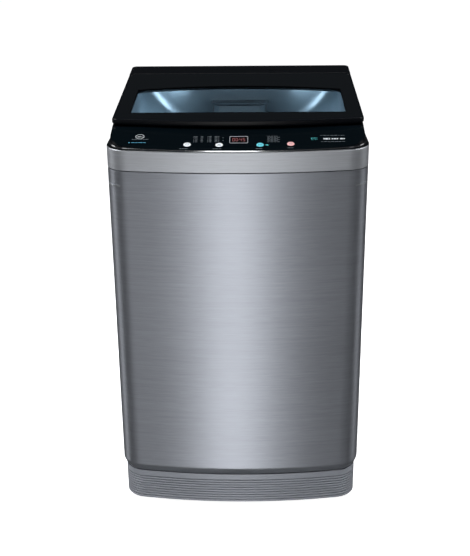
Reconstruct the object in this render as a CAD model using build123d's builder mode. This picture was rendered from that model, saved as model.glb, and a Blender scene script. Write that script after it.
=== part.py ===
from build123d import *
from math import cos, radians, sin, tan
import os

# Top load washing machine. Millimetres, +Z up, front towards -Y.
# The origin is on the floor, under the middle of the machine.

os.makedirs("parts", exist_ok=True)

# Cabinet
HALF_WIDTH = 275.0
FRONT_CENTRE = -285.0
FRONT_CORNER = -257.0
REAR = 268.0
PORT_REACH = 285.0
FRONT_RADIUS = 40.0
REAR_RADIUS = 18.0
SHEET = 1.2
BASE_BOTTOM = 15.0
BASE_TOP = 90.0
CABINET_BOTTOM = 91.0
CURL_HEIGHT = 16.0
CURL_INSET = 7.0
CABINET_TOP = 814.0
BAND_BOTTOM = 815.0
BAND_TOP = 860.0
BAND_WALL = 3.0

# Top and lid, both on tilted planes
PANEL_TILT = 17.0
LID_TILT = 4.58
LID_HALF_WIDTH = 267.0
LID_BOW = 21.0
LID_THICK = 12.0
GLASS_THICK = 4.0
GLASS_INSET = 5.0
GLASS_NOTCH_WIDTH = 19.0
GLASS_NOTCH_DEPTH = 24.0
HINGE_ALONG = 349.0
HINGE_RADIUS = 5.0
DECK_DROP = 15.0
CONSOLE_ALONG = 355.0
CONSOLE_END = 425.0
WALL = 3.0

# Tub and drive, round a vertical axis
TUB_Y = -5.0
TUB_RADIUS = 240.0
TUB_WALL = 4.0
TUB_BOTTOM = 215.0
TUB_TOP = 790.0
BASKET_RADIUS = 226.0
BASKET_BOTTOM = 240.0
BASKET_TOP = 752.0
WASH_SHAFT_RADIUS = 8.0
SPIN_SHAFT_RADIUS = 15.0
FIT = 0.05
ROD_REACH = 212.0
ROD_RADIUS = 4.0
PULLEY_Z = 118.0
PULLEY_HEIGHT = 16.0
DRIVE_PULLEY_RADIUS = 84.0
MOTOR_PULLEY_RADIUS = 21.0
MOTOR_X = 150.0

panel_plane = Plane(
    origin=(0, -283, 862),
    x_dir=(1, 0, 0),
    z_dir=(0, -sin(radians(PANEL_TILT)), cos(radians(PANEL_TILT))),
)
lid_plane = Plane(
    origin=(0, -184, 906.5),
    x_dir=(1, 0, 0),
    z_dir=(0, -sin(radians(LID_TILT)), cos(radians(LID_TILT))),
)
deck_plane = lid_plane.offset(-DECK_DROP)


def finish(node, name):
    """Label a finished piece and write it as its own STEP."""
    node.part.label = name
    export_step(node.part, f"parts/{name}.step")


def plan(height, inset=0.0, narrow=0.0):
    """Outline of the machine in plan at a height, pulled in all round by an inset."""
    half = HALF_WIDTH - inset - narrow
    corner = FRONT_CORNER + inset
    rear = REAR - inset
    with BuildSketch(Plane.XY.offset(height)) as sketch:
        with BuildLine():
            ThreePointArc((-half, corner), (0, FRONT_CENTRE + inset), (half, corner))
            Polyline((half, corner), (half, rear), (-half, rear), (-half, corner))
        make_face()
        rows = sketch.vertices().group_by(Axis.Y)
        fillet(rows[0], FRONT_RADIUS - inset)
        fillet(sketch.vertices().group_by(Axis.Y)[-1], REAR_RADIUS - inset / 2)
    return sketch.sketch


# ---------------------------------------------------------------- cabinet and base
WINDOW_HALF = 225.0
WINDOW_LOW = 160.0
WINDOW_HIGH = 760.0
FLANGE = 14.0
SPIGOT = (-180.0, 125.0)
GLAND = (200.0, 125.0)
SPIGOT_RADIUS = 13.0
GLAND_RADIUS = 9.0
SEAM = 0.3
SEAM_Y = -205.0


def cabinet():
    """Sheet-metal front, sides and rear rails, joined at seams, round a service window."""
    curl_top = CABINET_BOTTOM + CURL_HEIGHT
    with BuildPart() as wrap:
        loft([plan(CABINET_BOTTOM, CURL_INSET), plan(curl_top)])
        extrude(plan(curl_top), amount=CABINET_TOP - curl_top)
        loft([plan(CABINET_BOTTOM, CURL_INSET + SHEET), plan(curl_top, SHEET)], mode=Mode.SUBTRACT)
        extrude(plan(curl_top, SHEET), amount=CABINET_TOP - curl_top, mode=Mode.SUBTRACT)
        extrude(plan(CABINET_TOP - SHEET, SHEET), amount=SHEET)
        extrude(plan(CABINET_TOP - SHEET, FLANGE), amount=SHEET, mode=Mode.SUBTRACT)
        with BuildSketch(Plane.XZ.offset(-REAR - 1)):
            with Locations((0, (WINDOW_LOW + WINDOW_HIGH) / 2)):
                RectangleRounded(2 * WINDOW_HALF, WINDOW_HIGH - WINDOW_LOW, 20)
            with Locations(SPIGOT):
                Circle(SPIGOT_RADIUS)
            with Locations(GLAND):
                Circle(GLAND_RADIUS)
        extrude(amount=10, mode=Mode.SUBTRACT)
        with BuildSketch():
            with Locations((0, SEAM_Y)):
                Rectangle(3 * HALF_WIDTH, SEAM)
            with Locations((-WINDOW_HALF + SEAM, REAR), (WINDOW_HALF - SEAM, REAR)):
                Rectangle(SEAM, 3 * FLANGE)
        extrude(amount=CABINET_TOP + 1, mode=Mode.SUBTRACT)
    finish(wrap, "cabinet")


def rear_panel():
    """Cover over the service window, with a pressed field in its middle."""
    overlap = 12
    thick = 1.5
    middle = (WINDOW_LOW + WINDOW_HIGH) / 2
    height = WINDOW_HIGH - WINDOW_LOW
    with BuildPart() as panel:
        with BuildSketch(Plane.XZ.offset(-REAR)):
            with Locations((0, middle)):
                RectangleRounded(2 * (WINDOW_HALF + overlap), height + 2 * overlap, 12)
        extrude(amount=-thick)
        with BuildSketch(Plane.XZ.offset(-REAR - thick)):
            with Locations((0, middle)):
                RectangleRounded(360, 480, 30)
        extrude(amount=-5, taper=30)
        with BuildSketch(Plane.XZ.offset(-REAR)):
            with Locations((0, middle)):
                RectangleRounded(354, 474, 27)
        extrude(amount=-4, taper=30, mode=Mode.SUBTRACT)
        with BuildSketch(Plane.XZ.offset(-REAR + 1)):
            with Locations((0, middle)):
                with GridLocations(60, 34, 4, 5):
                    SlotOverall(44, 8)
        extrude(amount=-10, mode=Mode.SUBTRACT)
    finish(panel, "rear_panel")
    with BuildPart() as screws:
        with Locations(Plane.XZ.offset(-REAR - thick)):
            for side in (-1, 1):
                for step in range(3):
                    level = WINDOW_LOW + 20 + step * (height - 40) / 2
                    with Locations((side * (WINDOW_HALF + 6), level)):
                        Cylinder(4, 2.4, align=(Align.CENTER, Align.CENTER, Align.MAX))
    finish(screws, "rear_screws")


BASE_INSET = 5.5
BASE_WALL = 6.0
FOOT_X = 228.0
FOOT_Y = 215.0
FOOT_RADIUS = 22.0
STUD_RADIUS = 5.0
PLUG_RADIUS = 9.0
CORNER_TOP = 45.0
BLOCK_WIDTH = 70.0
RIB_START = 21.0
RIB_PITCH = 6.5
RIB_GAP = 2.4
RIB_DEPTH = 2.2
RIB_COUNT = 9


def corner_blocks():
    """Four solid blocks that carry the feet, cut out of the base's own outline."""
    middle = (0, (REAR + FRONT_CORNER) / 2, (CORNER_TOP + BASE_BOTTOM) / 2)
    with BuildPart() as blocks:
        extrude(plan(BASE_BOTTOM, BASE_INSET + 1), amount=CORNER_TOP - BASE_BOTTOM)
        with Locations(middle):
            Box(2 * FOOT_X - BLOCK_WIDTH, 2 * REAR + 100, 60, mode=Mode.SUBTRACT)
            Box(2 * REAR + 100, 2 * FOOT_Y - BLOCK_WIDTH, 60, mode=Mode.SUBTRACT)
    return blocks.part


def rib_gaps():
    """The narrow grooves between the ribs, as rings to be cut away."""
    with BuildPart() as gaps:
        for step in range(RIB_COUNT):
            extrude(plan(RIB_START + step * RIB_PITCH, BASE_INSET - 1), amount=RIB_GAP)
        extrude(plan(BASE_BOTTOM, BASE_INSET + RIB_DEPTH), amount=BASE_TOP, mode=Mode.SUBTRACT)
    return gaps.part


def base_frame():
    """Moulded base ring with horizontal ribs outside and a block at each foot."""
    with BuildPart() as base:
        extrude(plan(BASE_BOTTOM, BASE_INSET), amount=BASE_TOP - BASE_BOTTOM)
        extrude(plan(BASE_BOTTOM, BASE_INSET + BASE_WALL), amount=BASE_TOP, mode=Mode.SUBTRACT)
        add(corner_blocks())
        add(rib_gaps(), mode=Mode.SUBTRACT)
        with Locations((-FOOT_X, -FOOT_Y, 0), (FOOT_X, -FOOT_Y, 0)):
            Cylinder(STUD_RADIUS + FIT, 200, mode=Mode.SUBTRACT)
        with Locations((-FOOT_X, FOOT_Y, 0), (FOOT_X, FOOT_Y, 0)):
            Cylinder(PLUG_RADIUS, 200, mode=Mode.SUBTRACT)
    finish(base, "base_frame")


def base_plate():
    """Flat guard across the base, slotted for air, resting on the corner blocks."""
    with BuildPart() as plate:
        extrude(plan(CORNER_TOP, BASE_INSET + BASE_WALL + 1), amount=2)
        with BuildSketch(Plane.XY.offset(CORNER_TOP)):
            with Locations((0, TUB_Y)):
                with GridLocations(76, 26, 5, 12):
                    SlotOverall(62, 12)
        extrude(amount=2, mode=Mode.SUBTRACT)
        with Locations(*[(x, y, CORNER_TOP) for x in (-FOOT_X, FOOT_X) for y in (-FOOT_Y, FOOT_Y)]):
            Cylinder(14, 10, mode=Mode.SUBTRACT)
    finish(plate, "base_plate")


def feet():
    """Two screwed front feet and two rubber plugs under the rear corners."""
    for side, name in ((-1, "left"), (1, "right")):
        with BuildPart() as pad:
            with Locations((side * FOOT_X, -FOOT_Y, 0)):
                Cylinder(FOOT_RADIUS, 10, align=(Align.CENTER, Align.CENTER, Align.MIN))
                chamfer(pad.faces().sort_by(Axis.Z)[0].edges(), 2)
        finish(pad, f"front_foot_{name}")
        with BuildPart() as stud:
            with Locations((side * FOOT_X, -FOOT_Y, 10)):
                Cylinder(STUD_RADIUS, 42, align=(Align.CENTER, Align.CENTER, Align.MIN))
            with BuildSketch(Plane.XY.offset(10)):
                with Locations((side * FOOT_X, -FOOT_Y)):
                    RegularPolygon(11, 6)
            extrude(amount=4.5)
        finish(stud, f"front_stud_{name}")
    with BuildPart() as plugs:
        for side in (-1, 1):
            with Locations((side * FOOT_X, FOOT_Y, 0)):
                Cylinder(FOOT_RADIUS, BASE_BOTTOM, align=(Align.CENTER, Align.CENTER, Align.MIN))
                Cylinder(PLUG_RADIUS, 42, align=(Align.CENTER, Align.CENTER, Align.MIN))
    finish(plugs, "rear_feet")


# ---------------------------------------------------------------- band, cover and control panel
FLARE = ((860.3, 0.0), (866.0, 4.0), (874.0, 7.5), (888.0, 9.5), (950.0, 9.5))
SHELF_Y = 242.0
PANEL_REAR = -190.0
PANEL_THICK = 2.0
TRIM_GAP = 0.4
TRIM_WIDTH = 1.6
TRIM_HEIGHT = 1.8
TRIM_TILT = 6.5
RING_INSET = 7.2
BUTTON_RADIUS = 9.0
BUTTON_GAP = 0.4
BUTTON_SPOTS = {
    "program_button": (-103, 24),
    "level_button": (-37, 22),
    "start_button": (47, 22),
    "power_button": (110, 25),
}
DISPLAY_SPOT = (3, 43)
DISPLAY_SIZE = (38, 27)
MOUTH_HALF = 234.0
MOUTH_DEPTH = 318.0
MOUTH_Y = -3.0
MOUTH_BOTTOM = 813.0
MOUTH_RADIUS = 205.0
MOUTH_CORNER = 34.0
MOUTH_SLOPE = 41.0
GUARD_WALL = 2.5
INLET_SPOT = (150.0, 888.0)
INLET_RADIUS = 13.2


def flared(inset, low=FLARE[0][0]):
    """Block whose sides sweep in from the band to the lid, pulled in by an inset."""
    levels = [(low, FLARE[0][1])] + list(FLARE[1:])
    with BuildPart() as block:
        loft([plan(level, inset, narrow) for level, narrow in levels], ruled=True)
    return block.part


def mouth_form(grow):
    """Space of the loading mouth: upright walls drawn in below by a cone."""
    height = 140.0
    with BuildPart() as form:
        with BuildSketch(Plane.XY.offset(MOUTH_BOTTOM)):
            with Locations((0, MOUTH_Y)):
                RectangleRounded(2 * (MOUTH_HALF + grow), MOUTH_DEPTH + 2 * grow, MOUTH_CORNER + grow)
        extrude(amount=height)
        with Locations((0, TUB_Y, MOUTH_BOTTOM)):
            Cone(
                MOUTH_RADIUS + grow,
                MOUTH_RADIUS + grow + height * tan(radians(MOUTH_SLOPE)),
                height,
                align=(Align.CENTER, Align.CENTER, Align.MIN),
                mode=Mode.INTERSECT,
            )
    return form.part


trim_plane = Plane(
    origin=(0, FRONT_CENTRE, FLARE[0][0] - 0.1),
    x_dir=(1, 0, 0),
    z_dir=(0, -sin(radians(TRIM_TILT)), cos(radians(TRIM_TILT))),
)
front_limit = Plane((0, PANEL_REAR, 0), x_dir=(1, 0, 0), z_dir=(0, 1, 0))


def trim_bead(outer):
    """Narrow ring that runs round the foot of the flare, from one side to the other."""
    with BuildPart() as bead:
        add(flared(outer))
        add(flared(TRIM_GAP + TRIM_WIDTH), mode=Mode.SUBTRACT)
        split(bisect_by=trim_plane, keep=Keep.TOP)
        split(bisect_by=trim_plane.offset(TRIM_HEIGHT), keep=Keep.BOTTOM)
        split(bisect_by=front_limit, keep=Keep.BOTTOM)
    return bead.part


def front_band():
    """Brushed band round the front and sides, with a lip turned in at its top."""
    lip = 1.5
    with BuildPart() as band:
        extrude(plan(BAND_BOTTOM), amount=BAND_TOP - BAND_BOTTOM)
        fillet(band.faces().sort_by(Axis.Z)[-1].edges(), 1.0)
        extrude(plan(BAND_BOTTOM, BAND_WALL), amount=BAND_TOP - BAND_BOTTOM - lip, mode=Mode.SUBTRACT)
        extrude(plan(BAND_TOP - lip, BAND_WALL + 1), amount=lip, mode=Mode.SUBTRACT)
    finish(band, "front_band")


def top_cover():
    """Moulded cover: flared sides, sloped front, deck with the mouth, shelf behind."""
    with BuildPart() as cover:
        add(flared(0))
        split(bisect_by=deck_plane, keep=Keep.BOTTOM)
        split(bisect_by=panel_plane.offset(-PANEL_THICK), keep=Keep.BOTTOM)
        with Locations((0, SHELF_Y + 50, 920)):
            Box(600, 100, 110, mode=Mode.SUBTRACT)
        extrude(plan(FLARE[0][0], 0), amount=2.5)
        split(bisect_by=panel_plane.offset(-PANEL_THICK), keep=Keep.BOTTOM)
        extrude(plan(BAND_BOTTOM - 1, RING_INSET - WALL), amount=FLARE[0][0] - BAND_BOTTOM + 1)
        extrude(plan(BAND_BOTTOM - 1, 1.5), amount=1)
        add(top_cavity(), mode=Mode.SUBTRACT)
        add(trim_bead(-1), mode=Mode.SUBTRACT)
        extrude(plan(BAND_BOTTOM - 2, RING_INSET), amount=50, mode=Mode.SUBTRACT)
        with BuildSketch(Plane.XY.offset(870)):
            with Locations((0, MOUTH_Y)):
                RectangleRounded(2 * (MOUTH_HALF + GUARD_WALL), MOUTH_DEPTH + 2 * GUARD_WALL, MOUTH_CORNER)
        extrude(amount=80, mode=Mode.SUBTRACT)
        with Locations(*[panel_plane * Location((x, along, 0)) for x, along in BUTTON_SPOTS.values()]):
            Cylinder(BUTTON_RADIUS + 2 * BUTTON_GAP, 30, mode=Mode.SUBTRACT)
        with Locations(Location((INLET_SPOT[0], SHELF_Y, INLET_SPOT[1]), (90, 0, 0))):
            Cylinder(INLET_RADIUS + 1, 20, mode=Mode.SUBTRACT)
    finish(cover, "top_cover")


def top_cavity():
    """Hollow under the cover's deck and slope, open at the bottom."""
    with BuildPart() as cavity:
        add(flared(WALL, FLARE[0][0] + 2.4))
        split(bisect_by=deck_plane.offset(-WALL), keep=Keep.BOTTOM)
        split(bisect_by=panel_plane.offset(-PANEL_THICK - WALL), keep=Keep.BOTTOM)
        with Locations((0, SHELF_Y + 50 - WALL, 920)):
            Box(600, 100, 120, mode=Mode.SUBTRACT)
    return cavity.part


def front_slab(inset):
    """Thin layer of the flared block that lies on the sloped front."""
    with BuildPart() as slab:
        add(flared(inset))
        split(bisect_by=panel_plane, keep=Keep.BOTTOM)
        split(bisect_by=panel_plane.offset(-PANEL_THICK), keep=Keep.TOP)
        split(bisect_by=front_limit, keep=Keep.BOTTOM)
    return slab.part


def control_panel():
    """Glossy sloped panel with its bright trim, display window and lamp lenses."""
    with BuildPart() as trim:
        add(trim_bead(TRIM_GAP))
    finish(trim, "chrome_trim")
    with BuildPart() as panel:
        add(front_slab(TRIM_GAP))
        add(trim_bead(-1), mode=Mode.SUBTRACT)
        with Locations(*[panel_plane * Location((x, along, 0)) for x, along in BUTTON_SPOTS.values()]):
            Cylinder(BUTTON_RADIUS + BUTTON_GAP, 20, mode=Mode.SUBTRACT)
        with BuildSketch(panel_plane):
            with Locations(DISPLAY_SPOT):
                RectangleRounded(*DISPLAY_SIZE, 3)
        extrude(amount=-1.2, mode=Mode.SUBTRACT)
        with BuildSketch(panel_plane):
            lens_shapes()
        extrude(amount=-1.2, mode=Mode.SUBTRACT)
    finish(panel, "control_panel")
    with BuildPart() as window:
        with BuildSketch(panel_plane):
            with Locations(DISPLAY_SPOT):
                RectangleRounded(*DISPLAY_SIZE, 3)
        extrude(amount=-1.2)
    finish(window, "display_window")
    with BuildPart() as lens:
        with BuildSketch(panel_plane):
            lens_shapes()
        extrude(amount=-1.2)
    finish(lens, "lamp_lens")


def lens_shapes():
    """Outlines of the lit window and the small lamp beside the start button."""
    with Locations((159, 45)):
        RectangleRounded(14, 9, 2)
    with Locations((61, 22)):
        RectangleRounded(6, 4, 1)


def buttons():
    """Four round push buttons, each with a collar under the panel."""
    proud = 1.0
    depth = 8.0
    for name, spot in BUTTON_SPOTS.items():
        with BuildPart() as button:
            with BuildSketch(panel_plane.offset(-depth)):
                with Locations(spot):
                    Circle(BUTTON_RADIUS)
            extrude(amount=depth + proud)
            rim = button.edges().sort_by(Axis(panel_plane.origin, panel_plane.z_dir))[-1]
            fillet(rim, 0.7)
        finish(button, name)


def control_board():
    """Printed circuit board carried under the sloped panel, with its tact switches."""
    with BuildPart() as board:
        with BuildSketch(panel_plane.offset(-18)):
            with Locations((0, 50)):
                Rectangle(400, 50)
        extrude(amount=1.6)
        with BuildSketch(panel_plane.offset(-16.4)):
            with Locations(*BUTTON_SPOTS.values()):
                Rectangle(7, 7)
            with Locations((0, 62)):
                Rectangle(60, 14)
        extrude(amount=4.5)
    finish(board, "control_board")


# ---------------------------------------------------------------- lid, console and mouth
LID_UP = Axis(lid_plane.origin, lid_plane.z_dir)
LID_BACK = Axis(lid_plane.origin, lid_plane.y_dir)
LID_REAR = HINGE_ALONG + HINGE_RADIUS
PIN_RADIUS = 2.5
PIN_IN = 246.0
EAR_IN = 258.6
EAR_OUT = 266.4
WINDOW_FRONT = 42.0
WINDOW_BACK = 245.0
WINDOW_HALF_X = 232.0
WINDOW_SHOULDER = 216.0
DRAWER_HALF = 63.0
DRAWER_LOW = 837.0
DRAWER_HIGH = 869.0
DRAWER_FRONT = 112.0
DRAWER_BACK = 216.0


def lid_outline(plane, inset, rear):
    """Outline of the lid on its tilted plane: bowed front edge and straight sides."""
    half = LID_HALF_WIDTH - inset
    with BuildSketch(plane) as sketch:
        with BuildLine():
            ThreePointArc((-half, inset), (0, -LID_BOW + inset), (half, inset))
            Polyline((half, inset), (half, rear), (-half, rear), (-half, inset))
        make_face()
        fillet(sketch.vertices().filter_by(lambda v: v.Y < rear - 1), 9 - inset)
    return sketch.sketch


def window_outline(plane):
    """Outline of the clear window: straight front, bowed back with round corners."""
    half = WINDOW_HALF_X
    with BuildSketch(plane) as sketch:
        with BuildLine():
            ThreePointArc((-half, WINDOW_SHOULDER), (0, WINDOW_BACK), (half, WINDOW_SHOULDER))
            Polyline(
                (half, WINDOW_SHOULDER), (half, WINDOW_FRONT), (-half, WINDOW_FRONT), (-half, WINDOW_SHOULDER)
            )
        make_face()
        fillet(sketch.vertices().filter_by(lambda v: v.Y > WINDOW_FRONT + 10), 26)
    return sketch.sketch


def hinge_rod(radius, start, end):
    """Round bar along the hinge line between two places across the machine."""
    with BuildPart() as rod:
        with BuildSketch(Plane.YZ.offset(start)):
            with Locations((hinge_point.Y, hinge_point.Z)):
                Circle(radius)
        extrude(amount=end - start)
    return rod.part


hinge_point = lid_plane.from_local_coords(Vector(0, HINGE_ALONG, -HINGE_RADIUS))


def lid():
    """Lid frame with a round nose at the hinge line, its glass and its two pins."""
    nose = HINGE_RADIUS + 1
    with BuildPart() as corner:
        with BuildSketch(lid_plane):
            with Locations((0, HINGE_ALONG + nose / 2)):
                Rectangle(2 * LID_HALF_WIDTH + 10, nose)
        extrude(amount=-HINGE_RADIUS)
        add(hinge_rod(HINGE_RADIUS, -LID_HALF_WIDTH - 6, LID_HALF_WIDTH + 6), mode=Mode.SUBTRACT)
    with BuildPart() as frame:
        extrude(lid_outline(lid_plane, 0, LID_REAR), amount=-LID_THICK)
        for face in (frame.faces().sort_by(LID_UP)[-1], frame.faces().sort_by(LID_UP)[0]):
            fillet(face.edges().sort_by(LID_BACK)[:-1], 2.4)
        add(corner.part, mode=Mode.SUBTRACT)
        recess = lid_outline(lid_plane, GLASS_INSET, HINGE_ALONG - GLASS_INSET)
        extrude(recess, amount=-GLASS_THICK, mode=Mode.SUBTRACT)
        extrude(window_outline(lid_plane), amount=-LID_THICK, mode=Mode.SUBTRACT)
        with BuildSketch(lid_plane):
            with Locations((-LID_HALF_WIDTH, HINGE_ALONG), (LID_HALF_WIDTH, HINGE_ALONG)):
                Rectangle(18, 12)
        extrude(amount=-LID_THICK - 1, mode=Mode.SUBTRACT)
        add(hinge_rod(PIN_RADIUS, PIN_IN, LID_HALF_WIDTH), mode=Mode.SUBTRACT)
        add(hinge_rod(PIN_RADIUS, -LID_HALF_WIDTH, -PIN_IN), mode=Mode.SUBTRACT)
    finish(frame, "lid_frame")
    with BuildPart() as glass:
        extrude(recess, amount=-GLASS_THICK)
        with BuildSketch(lid_plane):
            with Locations((-LID_HALF_WIDTH, HINGE_ALONG), (LID_HALF_WIDTH, HINGE_ALONG)):
                Rectangle(GLASS_NOTCH_WIDTH, GLASS_NOTCH_DEPTH)
        extrude(amount=-GLASS_THICK, mode=Mode.SUBTRACT)
    finish(glass, "lid_glass")
    with BuildPart() as pins:
        add(hinge_rod(PIN_RADIUS, PIN_IN, EAR_OUT - 1))
        add(hinge_rod(PIN_RADIUS, -EAR_OUT + 1, -PIN_IN))
    finish(pins, "lid_hinge_pins")


def rear_console():
    """Strip behind the lid, hollow below, with an ear round each hinge pin."""
    depth = CONSOLE_END - CONSOLE_ALONG
    middle = (0, (CONSOLE_ALONG + CONSOLE_END) / 2)
    with BuildPart() as console:
        with BuildSketch(lid_plane):
            with Locations(middle):
                Rectangle(2 * LID_HALF_WIDTH, depth)
        extrude(amount=-DECK_DROP)
        backs = console.edges().filter_by(Axis((0, 0, 0), lid_plane.z_dir)).sort_by(LID_BACK)[-2:]
        fillet(backs, 12)
        top = console.faces().sort_by(LID_UP)[-1]
        fillet(top.edges(), 2)
        with BuildSketch(lid_plane.offset(-WALL)):
            with Locations(middle):
                RectangleRounded(2 * (LID_HALF_WIDTH - WALL), depth - 2 * WALL, 6)
        extrude(amount=-DECK_DROP, mode=Mode.SUBTRACT)
        for side in (-1, 1):
            low, high = sorted((side * EAR_IN, side * EAR_OUT))
            add(hinge_rod(HINGE_RADIUS, low, high))
            with BuildSketch(lid_plane):
                with Locations((side * (EAR_IN + EAR_OUT) / 2, (HINGE_ALONG + CONSOLE_ALONG + 4) / 2)):
                    Rectangle(EAR_OUT - EAR_IN, CONSOLE_ALONG + 4 - HINGE_ALONG)
            extrude(amount=-2 * HINGE_RADIUS)
            add(hinge_rod(PIN_RADIUS + FIT, low - 1, high + 1), mode=Mode.SUBTRACT)
    finish(console, "rear_console")


def mouth_guard():
    """Glossy liner of the loading mouth with a flange on the deck and a drawer opening."""
    margin = 8.0
    flange = 1.5
    along = (MOUTH_Y - lid_plane.origin.Y) / cos(radians(LID_TILT))
    with BuildPart() as guard:
        add(mouth_form(GUARD_WALL))
        split(bisect_by=deck_plane, keep=Keep.BOTTOM)
        with BuildSketch(deck_plane):
            with Locations((0, along)):
                RectangleRounded(2 * (MOUTH_HALF + margin), MOUTH_DEPTH + 2 * margin, MOUTH_CORNER)
        extrude(amount=flange)
        add(mouth_form(0), mode=Mode.SUBTRACT)
        with Locations((0, DRAWER_FRONT + 50, (DRAWER_LOW + DRAWER_HIGH) / 2)):
            Box(2 * DRAWER_HALF + 9, 100, DRAWER_HIGH - DRAWER_LOW + 7, mode=Mode.SUBTRACT)
    finish(guard, "mouth_guard")


def drawer():
    """Detergent drawer with a tapered front, and the box that it slides in."""
    middle_z = (DRAWER_LOW + DRAWER_HIGH) / 2
    height = DRAWER_HIGH - DRAWER_LOW
    with BuildPart() as box:
        with Locations((0, (DRAWER_FRONT + 6 + DRAWER_BACK + 4) / 2, middle_z)):
            Box(2 * DRAWER_HALF + 9, DRAWER_BACK - DRAWER_FRONT - 2, height + 7)
            Box(2 * DRAWER_HALF + 2, 300, height + 2, mode=Mode.SUBTRACT)
        with Locations((0, DRAWER_BACK + 3, middle_z)):
            Box(2 * DRAWER_HALF + 9, 2, height + 7)
        with Locations((0, 190, middle_z + height / 2 + 2)):
            Cylinder(9, 12, mode=Mode.SUBTRACT)
        with GridLocations(18, 14, 5, 1):
            with Locations((0, 196, DRAWER_LOW - 2)):
                Box(10, 10, 8, mode=Mode.SUBTRACT)
    finish(box, "inlet_box")
    with BuildPart() as tray:
        with Locations((0, (DRAWER_FRONT + 10 + DRAWER_BACK) / 2, middle_z)):
            Box(2 * DRAWER_HALF, DRAWER_BACK - DRAWER_FRONT - 10, height)
        with BuildSketch(Plane.XZ.offset(-DRAWER_FRONT - 10)):
            with Locations((0, middle_z)):
                Rectangle(2 * DRAWER_HALF, height)
        with BuildSketch(Plane.XZ.offset(-DRAWER_FRONT)):
            with Locations((0, middle_z + 1)):
                Rectangle(2 * DRAWER_HALF - 26, height - 6)
        loft()
        with Locations((0, (DRAWER_FRONT + 12 + DRAWER_BACK - 2) / 2, middle_z + 2)):
            Box(2 * DRAWER_HALF - 4, DRAWER_BACK - DRAWER_FRONT - 14, height, mode=Mode.SUBTRACT)
        with Locations((20, (DRAWER_FRONT + 12 + DRAWER_BACK - 2) / 2, middle_z - 2)):
            Box(2, DRAWER_BACK - DRAWER_FRONT - 14, height - 8)
    finish(tray, "detergent_drawer")


def inlet_valve():
    """Water valve on the cover's rear wall, with its threaded inlet and its coil."""
    x, z = INLET_SPOT
    with BuildPart() as valve:
        with Locations((x, SHELF_Y - WALL - 17.5, z)):
            Box(36, 34, 34)
        with BuildSketch(Plane.XZ.offset(-SHELF_Y + WALL + 1)):
            with Locations((x, z)):
                Circle(INLET_RADIUS)
        extrude(amount=-(PORT_REACH - SHELF_Y + WALL + 1))
        with BuildSketch(Plane.XZ.offset(-SHELF_Y)):
            with Locations((x, z)):
                RegularPolygon(17, 6)
        extrude(amount=-5)
        with BuildSketch(Plane.XZ.offset(-PORT_REACH)):
            with Locations((x, z)):
                Circle(8.5)
        extrude(amount=30, mode=Mode.SUBTRACT)
        chamfer(valve.edges().filter_by(GeomType.CIRCLE).sort_by(Axis.Y)[-1], 1)
    finish(valve, "inlet_valve")
    with BuildPart() as coil:
        with Locations((x - 37, SHELF_Y - WALL - 17.5, z)):
            Cylinder(13, 38, rotation=(0, 90, 0))
    finish(coil, "valve_coil")


def small_electrics():
    """Pressure sensor and lid switch under the cover."""
    with BuildPart() as sensor:
        with Locations((-200, 210, 880)):
            Cylinder(24, 14)
            Cylinder(12, 24)
            Cylinder(3, 36)
    finish(sensor, "pressure_sensor")
    with BuildPart() as switch:
        with Locations((225, 196, 905)):
            Box(34, 14, 20)
        with Locations((225, 196, 893)):
            Box(20, 8, 6)
    finish(switch, "lid_switch")


# ---------------------------------------------------------------- tub, basket and drive
LUG_LOW = 300.0
LUG_HIGH = 312.0
LUG_BORE = 13.0
SPRING_FOOT = 232.0
SPRING_RADIUS = 13.0
WIRE_RADIUS = 2.0
SPRING_TURNS = 6
BRACKET_Z = 780.0
ROD_TOP = 800.0
SLEEVE_RADIUS = 30.0
BEARING_RADIUS = 24.0
PLATE_Z = 186.0
BELT_LOW = 122.0
BELT_WIDTH = 8.0
BELT_THICK = 5.0
BELT_GAP = 0.4
GROOVE_DEPTH = 6.0
PULSATOR_RADIUS = 165.0
ROD_SPOTS = [(x, TUB_Y + y) for x in (-ROD_REACH, ROD_REACH) for y in (-ROD_REACH, ROD_REACH)]


def disc(radius, low, high, bore=0.0, spot=(0.0, TUB_Y)):
    """Round solid standing on a level, with an optional bore through it."""
    with BuildPart() as body:
        with BuildSketch(Plane.XY.offset(low)):
            with Locations(spot):
                Circle(radius)
                if bore:
                    Circle(bore, mode=Mode.SUBTRACT)
        extrude(amount=high - low)
    return body.part


def tub():
    """Water tub with four hanging lugs and a bearing sleeve, and the ring on its rim."""
    floor = 6.0
    with BuildPart() as outer:
        add(disc(TUB_RADIUS + TUB_WALL, TUB_BOTTOM, TUB_TOP))
        add(disc(TUB_RADIUS + TUB_WALL + 4, 470, 478))
        add(disc(TUB_RADIUS + TUB_WALL + 4, 640, 648))
        with BuildSketch(Plane.XY.offset(LUG_LOW)):
            for spot in ROD_SPOTS:
                with BuildLine():
                    Polyline((0, TUB_Y), spot)
                    offset(amount=19)
                make_face()
        extrude(amount=LUG_HIGH - LUG_LOW)
        add(disc(SLEEVE_RADIUS, 194, 230))
        add(disc(TUB_RADIUS, TUB_BOTTOM + floor, TUB_TOP, SLEEVE_RADIUS), mode=Mode.SUBTRACT)
        add(disc(SLEEVE_RADIUS + 1, 230, TUB_TOP), mode=Mode.SUBTRACT)
        add(disc(BEARING_RADIUS, 190, 232), mode=Mode.SUBTRACT)
        for spot in ROD_SPOTS:
            add(disc(LUG_BORE, LUG_LOW, LUG_HIGH, 0, spot), mode=Mode.SUBTRACT)
    finish(outer, "outer_tub")
    with BuildPart() as ring:
        add(disc(TUB_RADIUS + TUB_WALL + 3, 780, TUB_TOP, TUB_RADIUS + TUB_WALL))
        add(disc(TUB_RADIUS + TUB_WALL + 3, TUB_TOP, TUB_TOP + 6, 214))
    finish(ring, "tub_ring")


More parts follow.
